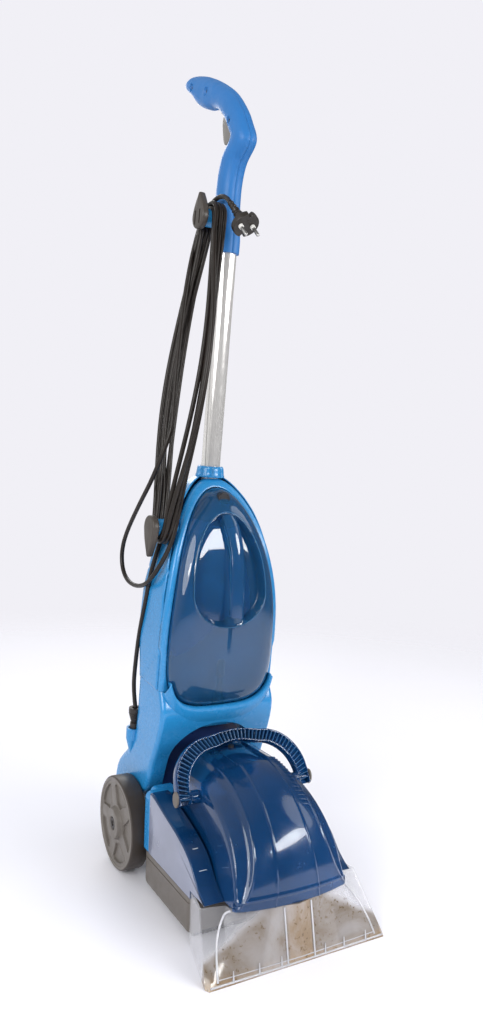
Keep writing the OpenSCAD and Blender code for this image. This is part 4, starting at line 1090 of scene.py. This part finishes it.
def wheel(s):
    """Tread with a rounded shoulder, raised rim, five sunk pockets, a hub ring."""
    n = 320
    th = np.linspace(0, 2 * math.pi, n, endpoint=False)
    rows = [(94.9, 61), (94.9, 63.2), (95.4, 64.4), (96.6, 65), (118.6, 65), (120.4, 64.5), (121.5, 63.3),
            (121.8, 61.6),
            (121.7, 60.2), (121.1, 59.2), (120.2, 58.7)] + [(120.0, r) for r in np.linspace(58, 24, 60)]
    rows += [(120.4, 23.2), (122.6, 22.0), (125.0, 21.4), (126.4, 20.6), (126.8, 19.2), (126.8, 11.0),
             (126.3, 9.8), (125.4, 9.1), (121.4, 8.8), (121.2, 5.2)]
    rings = []
    for x, r in rows:
        xx = np.full(n, x)
        if 24 < r < 57.5 and x == 120.0:
            t = (th / (2 * math.pi / 5)) % 1.0 - 0.5
            arc = np.abs(t) * (2 * math.pi / 5) * r
            half = np.interp(r, [25, 30, 40, 52, 57], [4, 8, 14.5, 24, 20])
            edge = np.clip((half - arc) / 1.6, 0, 1)
            edge_raw = np.minimum((half - arc), min(r - 28, 54.5 - r))
            radial = np.clip(min(r - 28, 54.5 - r) / 1.6, 0, 1)
            e = edge * radial
            xx = x - 8.5 * e * e * (3 - 2 * e) + 0.7 * np.exp(-((edge_raw - 0.0) / 0.8) ** 2)
        rings.append(np.stack([s * xx, r * np.cos(th), r * np.sin(th)], -1))
    v, f = grid(rings)
    back = [(94.9, 61), (95.4, 60.2), (115, 60), (117.5, 58), (117.5, 13), (116, 11), (96, 10), (94.9, 9.6),
            (94.9, 5.3)]
    w, g = grid(lathe([(s * a, r) for a, r in back], "x", 120))
    spokes = []
    for k in range(5):
        a = 2 * math.pi * k / 5
        bx = slab([(11, -1.5), (60, -1.5), (60, 1.5), (11, 1.5)], s * 96, s * 118, 0.4)
        q = np.array(bx[0])
        c, sn = math.cos(a), math.sin(a)
        q[:, 1], q[:, 2] = q[:, 1] * c - q[:, 2] * sn, q[:, 1] * sn + q[:, 2] * c
        spokes.append((q, bx[1]))
    v, f = joined((v, f), (w, g), *spokes)
    return v + np.array([0, 0, 65]), f


s = Shader("wheel")
# painted shade: the tread band is painted dark brown and the sunk pockets a darker taupe, for the shade they sit
# in
far = ((s.y - 0.10425).math("POWER", 2.0) + (s.z - 0.065).math("POWER", 2.0)).math("SQRT")
tread_painted_shade = far.ramp(0.0622, 0.0632)
deep = abs(s.x).ramp(0.1125, 0.1185)
face = s.mix(deep, rgb(70, 65, 60), s.mix(s.noise(16, 4), rgb(100, 94, 88), rgb(114, 108, 102)))
s.set(Base_Color=s.mix(tread_painted_shade, face, rgb(58, 50, 44)), Roughness=s.noise(60, 4).ramp(0.3, 0.7, 0.38, 0.55))
s.bump(s.noise(1200, 2), 0.0001, 0.5)
WHEEL = s.m
for s, side in ((-1, "left"), (1, "right")):
    v, f = wheel(s)
    add(side + "_wheel_skin", v, f, WHEEL, side + "_wheel", replaces=side + "_wheel", smooth=30)
    v, f = turned_piece(round_profile([(s * 122.9, 0), (s * 122.9, 8), (s * 126, 8), (s * 126, 4),
                                       (s * 123.4, 3.2), (s * 123.3, 0)], 0.5), "x", 48, (0, 0, AXLE_Z))
    add(side + "_hub_cap_skin", v, f, BLACK, side + "_wheel", replaces=side + "_hub_cap")

# ---------- dirty tank ----------

TUB = [(-85.3, 56.3), (-85.3, 138), (-97, 137), (-131, 128), (-173, 117), (-205, 103), (-228, 81),
       (-250, 66.3), (-212, 66.3), (-212, 56.3)]


top_line = smooth_path([(0, y, z) for y, z in TUB[1:8]], 8)[:, 1:]


def lobe(s, inset):
    """One side lobe of the tub: a flat side, a crisp edge and a top that slopes to the front."""
    rings = []
    i = inset
    for x, e in ((79.4 + i, 0), (BASE_W - 3.2 - i, 0), (BASE_W - 1.6 - i, 0.25), (BASE_W - 0.5 - i, 0.9),
                 (BASE_W - i, 2.2)):
        line = [(-85.3 - i, 56.3 + i), (-85.3 - i, 100.0), (-85.3 - i, 130 - e - i)]
        for y, z in top_line:
            line.append((min(y + (i if y < -228 else 0), -85.3 - i), z - (e + i if y > -249 else min(e, 0))))
        line += [(-230, 66.3 + i), (-212 + i, 66.3 + i), (-212 + i, 56.3 + i)]
        rings.append(np.array([(s * x, y, max(z, 56.3 + i)) for y, z in line]))
    return grid(rings, caps="ab")


lobes = [lobe(1, 0), lobe(-1, 0)]
floor_plate = box(-79.6, 79.6, -212, -85.4, 56.3, 58.8)
v, f = joined(*lobes, floor_plate)
TANK = clear("dirty tank blue", rgb(22, 88, 152), see=0.62, rough=0.2).m
# the tub's flat outer sides get a pale lilac-grey that is painted light: it stands for the bright light they
# catch, not a colour of the plastic
SIDE = clear("tank side", rgb(150, 156, 178), see=0.15, rough=0.2).m
tub = add("tub_skin", v, f, TANK, "dirty_tank", replaces="tank_tub", smooth=40)
tub.data.materials.append(SIDE)
# faces turned straight to either side take the painted light
for p in tub.data.polygons:
    if abs(p.normal.x) > 0.95 and abs(p.center.x) * 1000 > BASE_W - 1:
        p.material_index = 1
# a dark sheet inside the left lobe is painted shade for its dark inside; the right lobe has none, so light falls
# through it
v, f = lobe(-1, 2.4)
add("tub_inside", v, f, plastic("tank inside", rgb(14, 52, 96), 0.4, grain=0.000001).m, "dirty_tank")

# hood: a quarter round from the lip up and back, with creases at both sides of its middle
HOOD_R, HOOD_Y, FOOT, TAPER = 136.5, 154.0, 66.3, 14.0


def hood_at(u, a, wall=0.0):
    """A point of the hood: u from -1 to 1 across, a from 0 (lip) over 90 (crown) to 100 (rear edge)."""
    q = abs(u)
    x = 79 * q
    side = 11 * q * q
    first = 53 + 26 * math.exp(-a / 13)
    second = 26 + 5 * math.exp(-a / 30)
    valley = 5.0 / (1 + math.exp(-(x - first - 2.5) / 1.2)) * min(1, a / 14)
    ridge = 1.1 * math.exp(-((x - first) / 1.5) ** 2) + 0.9 * math.exp(-((x - second) / 1.3) ** 2)
    lip = 1.6 * math.exp(-((a - 5.5) / 1.2) ** 2) - 1.0 * (a < 4.8)
    r = HOOD_R - wall - valley + ridge - 2.0 + lip * 0.6
    r -= 3.0 * max(0, (q - 0.955) / 0.045) ** 2
    e = min(1, max(0, (38 - abs(79 * u + 4)) / 3.5))
    e = e * min(1, max(0, (a - 80) / 2.0)) * min(1, max(0, (99 - a) / 1.5))
    r -= 4.5 * e * e * (3 - 2 * e)
    t = math.radians(min(a, 90))
    y, z = -HOOD_Y - (r - side) * math.cos(t), FOOT + (r - 28 * q * q) * math.sin(t)
    if a > 90:
        y = -HOOD_Y + (HOOD_Y - 85.3 - wall) * (a - 90) / 10
    return (math.copysign(1, u) * q * (79.0 - wall - TAPER * (z - FOOT) / HOOD_R), y, max(z, FOOT))


us = np.linspace(-1, 1, 181)
arcs = np.concatenate([np.linspace(0, 9, 19), np.linspace(10, 74, 50), np.linspace(75, 83, 17),
                       np.linspace(84, 94, 11), np.linspace(95, 100, 11)])
rows = [np.array([hood_at(u, a) for a in arcs]) for u in us]
crown = grid(rows, close_u=False)
walls = []
for k in (0, -1):
    e = rows[k]
    steps = []
    for q in np.linspace(0, 1, 10):
        z = e[:, 2] * (1 - q) + FOOT * q
        half = 79.0 - TAPER * (z - FOOT) / HOOD_R
        steps.append(np.stack([np.sign(e[:, 0]) * half, e[:, 1], z], -1))
    walls.append(grid(steps, close_u=False))
v, f = joined(crown, *walls)
hood = add("hood_skin", v, f, TANK, "dirty_tank", replaces="tank_hood", smooth=40)
finish(hood, thick=2.2)
bake(hood, 40)
# ladder of small ribs down the hood's right shoulder
bar = slab([(-6.5, -0.9), (6.5, -0.9), (6.5, 0.9), (-6.5, 0.9)], -2.2, 1.3, 0.4, 2, axis="z")
places = []
for a in np.linspace(48, 86, 15):
    p = np.array(hood_at(0.53, a))
    places.append((p, (math.pi / 2 - math.radians(a), 0.19, 0), (1, 1, 1)))
repeated("hood_ladder", bar, places, TANK, "dirty_tank", base_frame)

# level marks on the front lobes: plain pale lines
marks = []
for sgn in (-1, 1):
    for y, w in ((-218, 5.0), (-196, 3.5)):
        z = float(np.interp(y, top_line[::-1, 0], top_line[::-1, 1]))
        marks.append(slab([(sgn * 92 - w, y - 0.5), (sgn * 92 + w, y - 0.5), (sgn * 92 + w, y + 0.5),
                           (sgn * 92 - w, y + 0.5)], z - 0.1, z + 0.35, 0.1, 1, axis="z"))
v, f = joined(*marks)
MARK = plastic("pale mark", rgb(226, 232, 238), 0.5).m
add("level_marks", v, f, MARK, "dirty_tank")

# ---------- bail ----------

BAIL_Y, BAIL_Z, BAIL_LEAN = 157.0, 155.5, math.radians(32)


def bail_frame(p):
    p = np.asarray(p, float)
    c, s = math.cos(BAIL_LEAN), math.sin(BAIL_LEAN)
    y, z = p[..., 1], p[..., 2]
    return base_frame(np.stack([p[..., 0], -BAIL_Y + y * c + z * s, BAIL_Z - y * s + z * c], -1))


def arch(w, high, r, low, rise):
    """Half of a round-cornered arch, from its foot to its middle."""
    pts = [(w, low)] + [(w, z) for z in np.linspace(low, high - r, 10)[1:]]
    pts += [(w - r + r * math.cos(a), high - r + r * math.sin(a)) for a in np.linspace(0, math.pi / 2, 14)[1:]]
    top = pts[-1]
    for q in np.linspace(0, 1, 20)[1:]:
        x = top[0] * (1 - q)
        pts.append((x, high + rise * math.sin(math.pi / 2 * q)))
    return np.array(pts)


out_half, in_half = arch(100, 72, 60, -9, 5), arch(82.5, 56, 50, -9, 6)
path_o = np.concatenate([out_half, out_half[::-1][1:] * [-1, 1]])
path_i = np.concatenate([in_half, in_half[::-1][1:] * [-1, 1]])
# section of the channel: two flanges and the web between them, open to the front
prof = [(0, -6), (0, 5), (0.05, 6), (0.95, 6), (1, 5), (1, -6), (0.88, -6), (0.86, 2.8), (0.82, 3.4),
        (0.18, 3.4), (0.14, 2.8), (0.12, -6)]
prof = prof[::-1]
rings = []
for o, i in zip(path_o, path_i):
    rings.append(np.array([(o[0] * (1 - q) + i[0] * q, y, o[1] * (1 - q) + i[1] * q) for q, y in prof]))
v, f = grid(rings, caps="ab")
bail = add("bail_skin", v, f, TANK, "tank_bail", place=bail_frame, replaces="tank_bail",
           smooth=40)
finish(bail, bevel=0.6, segments=2)
bake(bail, 40)
mid = (path_o + path_i) / 2
seg = np.concatenate([[0], np.cumsum(np.linalg.norm(np.diff(mid, axis=0), axis=1))])
places = []
for d in np.arange(7, seg[-1] - 4, 5.6):
    o = np.array([np.interp(d, seg, path_o[:, k]) for k in (0, 1)])
    i = np.array([np.interp(d, seg, path_i[:, k]) for k in (0, 1)])
    w = i - o
    places.append((((o + i) / 2)[[0, 0, 1]] * [1, 0, 1], (0, -math.atan2(w[1], w[0]), 0),
                   (np.linalg.norm(w) * 0.8, 1, 1)))
rib = slab([(-0.5, -0.6), (0.5, -0.6), (0.5, 0.6), (-0.5, 0.6)], -5.6, 3.6, 0.2, 1, axis="z")
q = np.array(rib[0])[:, [0, 2, 1]]
repeated("bail_ribs", (q, rib[1]), places, clear("bail rib", rgb(66, 118, 170), see=0.45).m, "tank_bail",
         bail_frame)

caps_v, hubs = [], []
for s in (-1, 1):
    w, g = turned_piece(round_profile([(s * 100.4, 0), (s * 100.4, 10.3), (s * 103.4, 10.0), (s * 103.6, 0)],
                                      1.4), "x", 56)
    w[:, 1] *= 0.72
    caps_v.append((w + np.array([0, -BAIL_Y, BAIL_Z]), g))
    hub = [(s * 70.5, 0), (s * 70.5, 8.5), (s * 82.2, 8), (s * 82.5, 4), (s * 100.6, 4), (s * 100.6, 0)]
    hubs.append(turned_piece(round_profile(hub, 0.5), "x", 40, (0, -BAIL_Y, BAIL_Z)))
v, f = joined(*hubs)
add("bail_hubs", v, f, TANK, "dirty_tank")
v, f = joined(*caps_v)
add("bail_cap_skin", v, f, TAUPE, "dirty_tank", replaces="bail_caps")
v, f = slab([(-99, 202.9), (-87, 202.9), (-87, 207.6), (-89, 207.9), (-97, 207.9), (-99, 207)], -18.8, 18.8,
            0.8)
add("latch_skin", v, f, BLACK, "tank_latch", replaces="tank_latch")

# ---------- nozzle ----------

NT = 66.0
lo = np.array([(105 - 0.3, -212.3), (126, -295.5), (123, -300.5), (79, -300.5), (0, -300.5)])
hi = np.array([(104.7, -212.3), (113, -250), (82, -258), (79, -272), (0, -291.5)])


def half_line(p, n):
    """More points along each stretch of half an outline."""
    out = []
    for a, b, k in zip(p, p[1:], n):
        for t in np.linspace(0, 1, k, endpoint=False):
            out.append(a * (1 - t) + b * t)
    return np.array(out + [p[-1]])


cl, ch = half_line(lo, (14, 6, 12, 30)), half_line(hi, (14, 6, 12, 30))
front = []
for s in np.linspace(0, 1, 44):
    p = cl * (1 - s) + ch * s
    p = np.stack([p[:, 0], p[:, 1], np.full(len(p), NT * s)], -1)
    both = np.concatenate([p, p[::-1][1:] * [-1, 1, 1]])
    # two thin ribs beside the middle channel and a gusset further out, moulded on the face
    x = np.abs(both[:, 0])
    edge = np.minimum(s, 1 - s)
    rib = 1.1 * (np.exp(-((x - 19) / 1.3) ** 2) + 0.8 * np.exp(-((x - 75) / 1.2) ** 2))
    rib = rib * np.clip(edge / 0.04, 0, 1)
    inside = both[:, 1] < -255
    both[:, 1] += np.where(inside, rib, 0)
    front.append(both)
v, f = grid(front, close_u=False)
def clear_wall(name, dirty):
    """Thin clear wall: nearly invisible face on, with a painted white sheen where it is seen edge on that stands
    for its reflection, and a brown film in front.
    """
    s = Shader(name)
    # painted sheen: the wall turns whiter and more opaque towards grazing angles
    edge = s.node("ShaderNodeLayerWeight", {}, {"Blend": 0.22}, 1)
    cloud = s.noise(11, 6, 0.65, distort=0.8)
    speck = s.noise(230, 2, 0.6)
    front = (s.y * -1.0).ramp(0.172, 0.18)
    low = s.z.ramp(0.002, 0.013, 1.0, 0.0)
    film = cloud.ramp(0.2, 0.62, 0.5, 1.0) * front
    grit = speck.ramp(0.6, 0.68) * cloud.ramp(0.42, 0.6) * front
    middle = abs(s.x).ramp(0.014, 0.02, 1.0, 0.0)
    brown = s.mix((low * 0.8 + middle * 0.6).min(1.0), rgb(126, 113, 99), rgb(138, 110, 72))
    s.set(Base_Color=s.mix(((film + grit) * dirty).min(1.0), rgb(236, 236, 242),
                           s.mix(grit, brown, rgb(92, 74, 52))))
    dirt = (film * 0.7 + grit * 0.4 + (low * 0.2 + middle * 0.12) * front) * dirty
    s.set(Alpha=(edge * 0.5 + dirt + 0.09).min(0.96))
    s.set(Roughness=cloud.ramp(0.3, 0.8, 0.06, 0.22), Specular_IOR_Level=0.6, Coat_Weight=0.5,
          Coat_Roughness=0.04)
    s.bump(s.noise(60, 3), 0.0002, 0.2)
    return s


CLEAR = clear_wall("clear nozzle", 1.0).m
RIM = clear("clear rim", rgb(238, 238, 244), see=0.35, rough=0.08).m
nozzle = add("nozzle_skin", v, f, CLEAR, "base", replaces="nozzle_front", smooth=30)
finish(nozzle, thick=2.2)
bake(nozzle, 30)


def face_at(x, s, out=0.0):
    """A point on the nozzle's front face, s from its foot to its head."""
    p = (cl * (1 - s) + ch * s)[14:]
    return (x, float(np.interp(abs(x), p[::-1, 0], p[::-1, 1])) - out, NT * s)


# beads on the face: the channel's two curved borders, the rim along the foot and along both front corners
beads = []
for k in (-1, 1):
    knots = np.array([(79, 0.99), (90, 0.84), (99, 0.66), (105, 0.46), (109, 0.24), (111, 0.05)])
    t = np.linspace(0, 5, 60)
    px, ps = np.interp(t, range(6), knots[:, 0]), np.interp(t, range(6), knots[:, 1])
    px, ps = (np.convolve(np.pad(q, 6, "edge"), np.ones(13) / 13, "valid") for q in (px, ps))
    beads.append(grid(tube_rings([face_at(k * a, b, -0.2) for a, b in zip(px, ps)], [1.3] * 60, 14), caps="ab"))
    beads.append(grid(tube_rings([face_at(k * 19, b, 0.1) for b in np.linspace(0.03, 0.97, 30)], [1.1] * 30,
                                 12), caps="ab"))
beads.append(grid(tube_rings([face_at(a, 0.035, -0.1) for a in np.linspace(-121, 121, 160)], [1.2] * 160, 12),
                  caps="ab"))
beads.append(grid(tube_rings([face_at(a, 0.11, 0.2) for a in np.linspace(-110, 110, 140)], [0.6] * 140, 10),
                  caps="ab"))
v, f = joined(*beads)
add("nozzle_beads", v, f, RIM, "base")
fin = slab([(-2.6, 0), (2.6, 0), (0.4, 13), (-0.4, 13)], -0.7, 0.7, 0.3, 2, axis="y")
q = np.array(fin[0])
places = [((x, face_at(x, 0.03)[1] - 0.2, 1.4), (-0.1, 0, 0), (0.5, 1, 1)) for x in (-92, -58, -28, 34, 62, 95)]
repeated("nozzle_fins", (q, fin[1]), places, RIM, "base", base_frame)
foot, head = -290.3, -290.3 + 26
plate = slab([(foot, 2), (foot + 2.2, 2), (head + 2.2, 60), (head, 60)], -88, 88, 0.4)
gussets = []
for x in (-29, 29, -55, 55):
    gussets.append(slab([(foot + 2.4, 2), (foot + 24, 2), (head + 2.4, 59)], x - 0.9, x + 0.9, 0.3))
v, f = joined(plate, *gussets)
add("nozzle_back_skin", v, f, CLEAR, "base", replaces="nozzle_back", smooth=30)

# ---------- hooks ----------

HOOK = plastic("hook plate", rgb(66, 60, 55), 0.42, grain=0.00004).m

v, f = turned_piece(round_profile([(-44.2, 0), (-44.2, 12), (-16.4, 12), (-16.4, 0)], 1.0), "x", 48,
                    (0, 14, 861))
w, g = turned_piece(round_profile([(-96.2, 0), (-96.2, 12), (-66, 12), (-66, 0)], 1.0), "x", 48, (0, -12, 433))
add("upper_post_skin", v, f, BLUE, "upright", replaces="upper_post")
add("lower_post_skin", w, g, BLUE, "upright", replaces="lower_post")


def drop(up, r, l):
    """Teardrop outline in y and z."""
    pts = [(r * math.cos(math.radians(a)), up * r * math.sin(math.radians(a))) for a in np.linspace(10, -190,
            40)]
    tip = smooth_path([(0, -r * math.cos(math.radians(10)), up * -r * 0.0 + up * 3),
                       (0, -r * 0.74, up * l * 0.45), (0, -r * 0.3, up * l * 0.82),
                       (0, 0, up * l), (0, r * 0.3, up * l * 0.82), (0, r * 0.74, up * l * 0.45),
                       (0, r * math.cos(math.radians(10)), up * 3)], 6)
    return pts + [(p[1], p[2]) for p in tip[1:-1]]


v, f = slab([(14 + y, 861 + z) for y, z in drop(1, 17, 32)], -54.6, -44.7, 2.6, 5)
up_hook = add("upper_hook_skin", v, f, HOOK, "upper_hook", replaces="upper_hook")
for y in (7.5, 20.5):
    v, f = prism([(y - 1.8, 850), (y + 1.8, 850), (y + 1.8, 869), (y - 1.8, 869)], -60, -52.0, "x")
    cut(up_hook, (upright_frame(v), f))
v, f = turned_piece(round_profile([(-45, 0), (-45, 5), (-31, 5), (-31, 0)], 0.6), "x", 32, (0, 14, 861))
add("upper_hook_spigot", v, f, HOOK, "upper_hook")
v, f = slab([(-12 + y, 433 + z) for y, z in drop(-1, 17, 41)], -106.6, -96.7, 2.6, 5)
add("lower_hook_skin", v, f, HOOK, "upright", replaces="lower_hook")

# trigger
line = smooth_path([(0, 41, 193), (0, 44, 200), (0, 50, 200), (0, 54.5, 194), (0, 57, 186), (0, 53, 168),
                    (0, 47.5, 155), (0, 40, 152), (0, 34, 154),
                    (0, 30, 166), (0, 35, 180), (0, 41, 193)], 5)[:-1, 1:]
v, f = joined(slab([(y, 820 + z) for y, z in line], -5.5, 5.5, 1.6, 4),
              turned_piece(round_profile([(-11.8, 0), (-11.8, 2), (11.8, 2), (11.8, 0)], 0.3), "x", 32,
                           (0, 47, 1016)))
add("trigger_skin", v, f, GREY, "trigger", replaces="trigger")

# cord boss: ribbed black relief in its cup
prof = [(-13.6, 0), (-13.6, 6.2), (0, 6.4), (8, 6.4)]
for k in range(5):
    z0 = 8 + 3.2 * k
    r = 4.9 + 0.95 * k
    prof += [(z0 + 0.3, r), (z0 + 1.9, r + 0.8), (z0 + 2.2, r + 0.1), (z0 + 3.1, r)]
prof += [(24.5, 9.3), (25.2, 9.5), (30.5, 9.5), (31, 8.8), (31, 5), (28, 3.4), (28, 0)]
v, f = turned_piece(prof, "z", 56, (-88, 33, 126))
add("grommet_skin", v, f, BLACK, "upright", replaces="cord_grommet")

# ---------- pieces inside and underneath: finishes on the frame's solids, with painted shade on the motor cover ---

RUBBER = plastic("soft rubber", rgb(34, 32, 32), 0.7, grain=0.00004, scale=600).m
GREY_METAL = metal("motor can", (0.34, 0.35, 0.36, 1), 0.4, along=(30, 30, 1)).m
# the motor cover is blue like the shell; its dark navy is painted shade for the shade it sits in under the arch
BLUE_COVER_PAINTED_SHADE = plastic("dark blue cover", rgb(26, 46, 92), 0.32).m
FINISH = dict(base_pan=TAUPE, wheel_axle=STEEL, axle_clips=STEEL, base_screws=STEEL, spray_bar=DARK,
              tank_gasket=RUBBER,
              float_ball=DARK, motor_cover=BLUE_COVER_PAINTED_SHADE, suction_duct=DARK, motor=GREY_METAL, fan_housing=DARK,
              water_pump=DARK,
              valve_seat=DARK, tube_screw=STEEL, rod_guide=DARK, pull_rod=STEEL, cord_grommet=BLACK,
              power_switch=BLACK,
              tube_collar=BLUE, handle_tube=CHROME, clean_tank=CLEAR_BLUE, fill_cap=DARK, release_button=DARK,
              trigger=GREY, upper_post=BLUE, lower_post=BLUE, upper_hook=HOOK, lower_hook=HOOK,
              tank_latch=BLACK,
              tank_tub=TANK, tank_hood=TANK, tank_bail=TANK, bail_caps=TAUPE, nozzle_front=CLEAR,
              nozzle_back=CLEAR,
              left_wheel=TAUPE, right_wheel=TAUPE, left_hub_cap=BLACK, right_hub_cap=BLACK, yoke=BLUE,
              rear_cover=BLUE,
              rear_shell=BLUE, front_ring=BLUE, base_cover=BLUE, handle_left=GRIP, handle_right=GRIP,
              handle_screws=DARK,
              shell_screws=STEEL, brush_strip=RUBBER, plug_body=BLACK, plug_pins=STEEL, cord_tail=CORD,
              cord_hank=CORD,
              cord_slack=CORD, cord_lead=CORD)
for name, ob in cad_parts.items():
    ob.data.materials.clear()
    ob.data.materials.append(FINISH[name])

# brush: tufts under the lower housing
tuft = turned_piece(round_profile([(0, 0), (0.2, 1.9), (6, 1.3), (6.2, 0)], 0.3), "z", 10)
places = [((x + 0.6 * math.sin(9 * x), -197 + y, 0.9), (0, 0.06 * math.sin(5 * x), 0), (1, 1, 1))
          for x in np.linspace(-92, 92, 47) for y in (-3, 0, 3)]
repeated("brush_tufts", tuft, places, RUBBER, "base", base_frame)

# heads of the rear shell's screws, within its wall
SCREW_SIDES, SCREW_ROWS, HEAD_DEPTH = (-60, 60), (240, 330), 2.2
head = turned_piece(round_profile([(0, 0), (0, 3.3), (1.6, 3.2), (2.2, 2.0), (1.6, 0.8), (1.6, 0)], 0.5), "z",
                    28)
places = [((x, float(rear_at(z)) - HEAD_DEPTH, z), (-math.pi / 2, 0, 0), (1, 1, 1)) for x in SCREW_SIDES
          for z in SCREW_ROWS]
repeated("shell_screw_heads", head, places, STEEL, "upright", upright_frame, replaces="shell_screws")

# ---------- stage and light ----------

BACKDROP = rgb(241, 240, 246)
FLOOR_HALF, FADE_FROM, FADE_TO = 6, 0.8, 2.4
WALL_WAY, WALL_RANGE = (-0.62, 0.74, 0.26), (-0.2, 0.95, 0.14, 0.9)
world = bpy.data.worlds.new("studio")
scene.world = world
world.use_nodes = True
nt = world.node_tree
nt.nodes.clear()
out = nt.nodes.new("ShaderNodeOutputWorld")
seen, lit, gloss = (nt.nodes.new("ShaderNodeBackground") for _ in range(3))
some, both = (nt.nodes.new("ShaderNodeMixShader") for _ in range(2))
path = nt.nodes.new("ShaderNodeLightPath")
add1 = nt.nodes.new("ShaderNodeMath")
add1.operation, add1.use_clamp = "ADD", True
seen.inputs[0].default_value = BACKDROP
lit.inputs[0].default_value = (0.97, 0.98, 1.0, 1)
lit.inputs[1].default_value = 0.6
# a bright wall to the left and behind, a darker room in front, as glossy and clear faces show them
way, dot, wall = (nt.nodes.new("ShaderNode" + k) for k in ("TexCoord", "VectorMath", "MapRange"))
dot.operation = "DOT_PRODUCT"
dot.inputs[1].default_value = WALL_WAY
nt.links.new(way.outputs["Generated"], dot.inputs[0])
nt.links.new(dot.outputs["Value"], wall.inputs[0])
for k, v in zip((1, 2, 3, 4), WALL_RANGE):
    wall.inputs[k].default_value = v
nt.links.new(wall.outputs[0], gloss.inputs[1])
nt.links.new(path.outputs["Is Glossy Ray"], add1.inputs[0])
nt.links.new(path.outputs["Is Transmission Ray"], add1.inputs[1])
nt.links.new(add1.outputs[0], some.inputs[0])
nt.links.new(lit.outputs[0], some.inputs[1])
nt.links.new(gloss.outputs[0], some.inputs[2])
nt.links.new(path.outputs["Is Camera Ray"], both.inputs[0])
nt.links.new(some.outputs[0], both.inputs[1])
nt.links.new(seen.outputs[0], both.inputs[2])
nt.links.new(both.outputs[0], out.inputs[0])

# name, place, aim, size in metres, power in watts; the top light is a narrow strip
TOP_NARROW = 0.24
LIGHTS = [("key", (-2.7, -1.3, 1.7), (0, 0, 0.6), 2.3, 60),
          ("spark", (-1.9, -1.5, 1.25), (0, 0, 0.4), 0.4, 6),
          ("top", (1.08, -1.79, 1.14), (0, -0.15, 0.14), 1.7, 26),
          ("fill", (2.2, -1.0, 2.0), (0, 0, 0.5), 1.6, 12),
          ("back", (0.5, 2.4, 2.1), (0, 0, 0.6), 1.5, 26)]
for name, at, aim, size, power in LIGHTS:
    lamp = bpy.data.lights.new(name, "AREA")
    lamp.shape, lamp.energy = "ELLIPSE", power
    lamp.size, lamp.size_y = size, size * (TOP_NARROW if name == "top" else 1)
    ob = bpy.data.objects.new(name, lamp)
    ob.location, ob.visible_transmission = at, False
    ob.rotation_euler = (Vector(aim) - Vector(at)).to_track_quat("-Z", "Y").to_euler()
    scene.collection.objects.link(ob)

me = bpy.data.meshes.new("floor")
corners = [(a * FLOOR_HALF, b * FLOOR_HALF, 0) for a, b in ((-1, -1), (1, -1), (1, 1), (-1, 1))]
me.from_pydata(corners, [], [(0, 1, 2, 3)])
floor = bpy.data.objects.new("floor", me)
scene.collection.objects.link(floor)
s = Shader("floor")
s.set(Base_Color=s.mix(s.noise(2.0, 2), BACKDROP, rgb(245, 244, 250)), Roughness=0.9)
far = (s.x * s.x + s.y * s.y).math("SQRT")
s.set(Alpha=far.ramp(FADE_FROM, FADE_TO, 1.0, 0.0))
me.materials.append(s.m)
floor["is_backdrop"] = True

size = [cad_box, [list(v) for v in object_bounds()]]
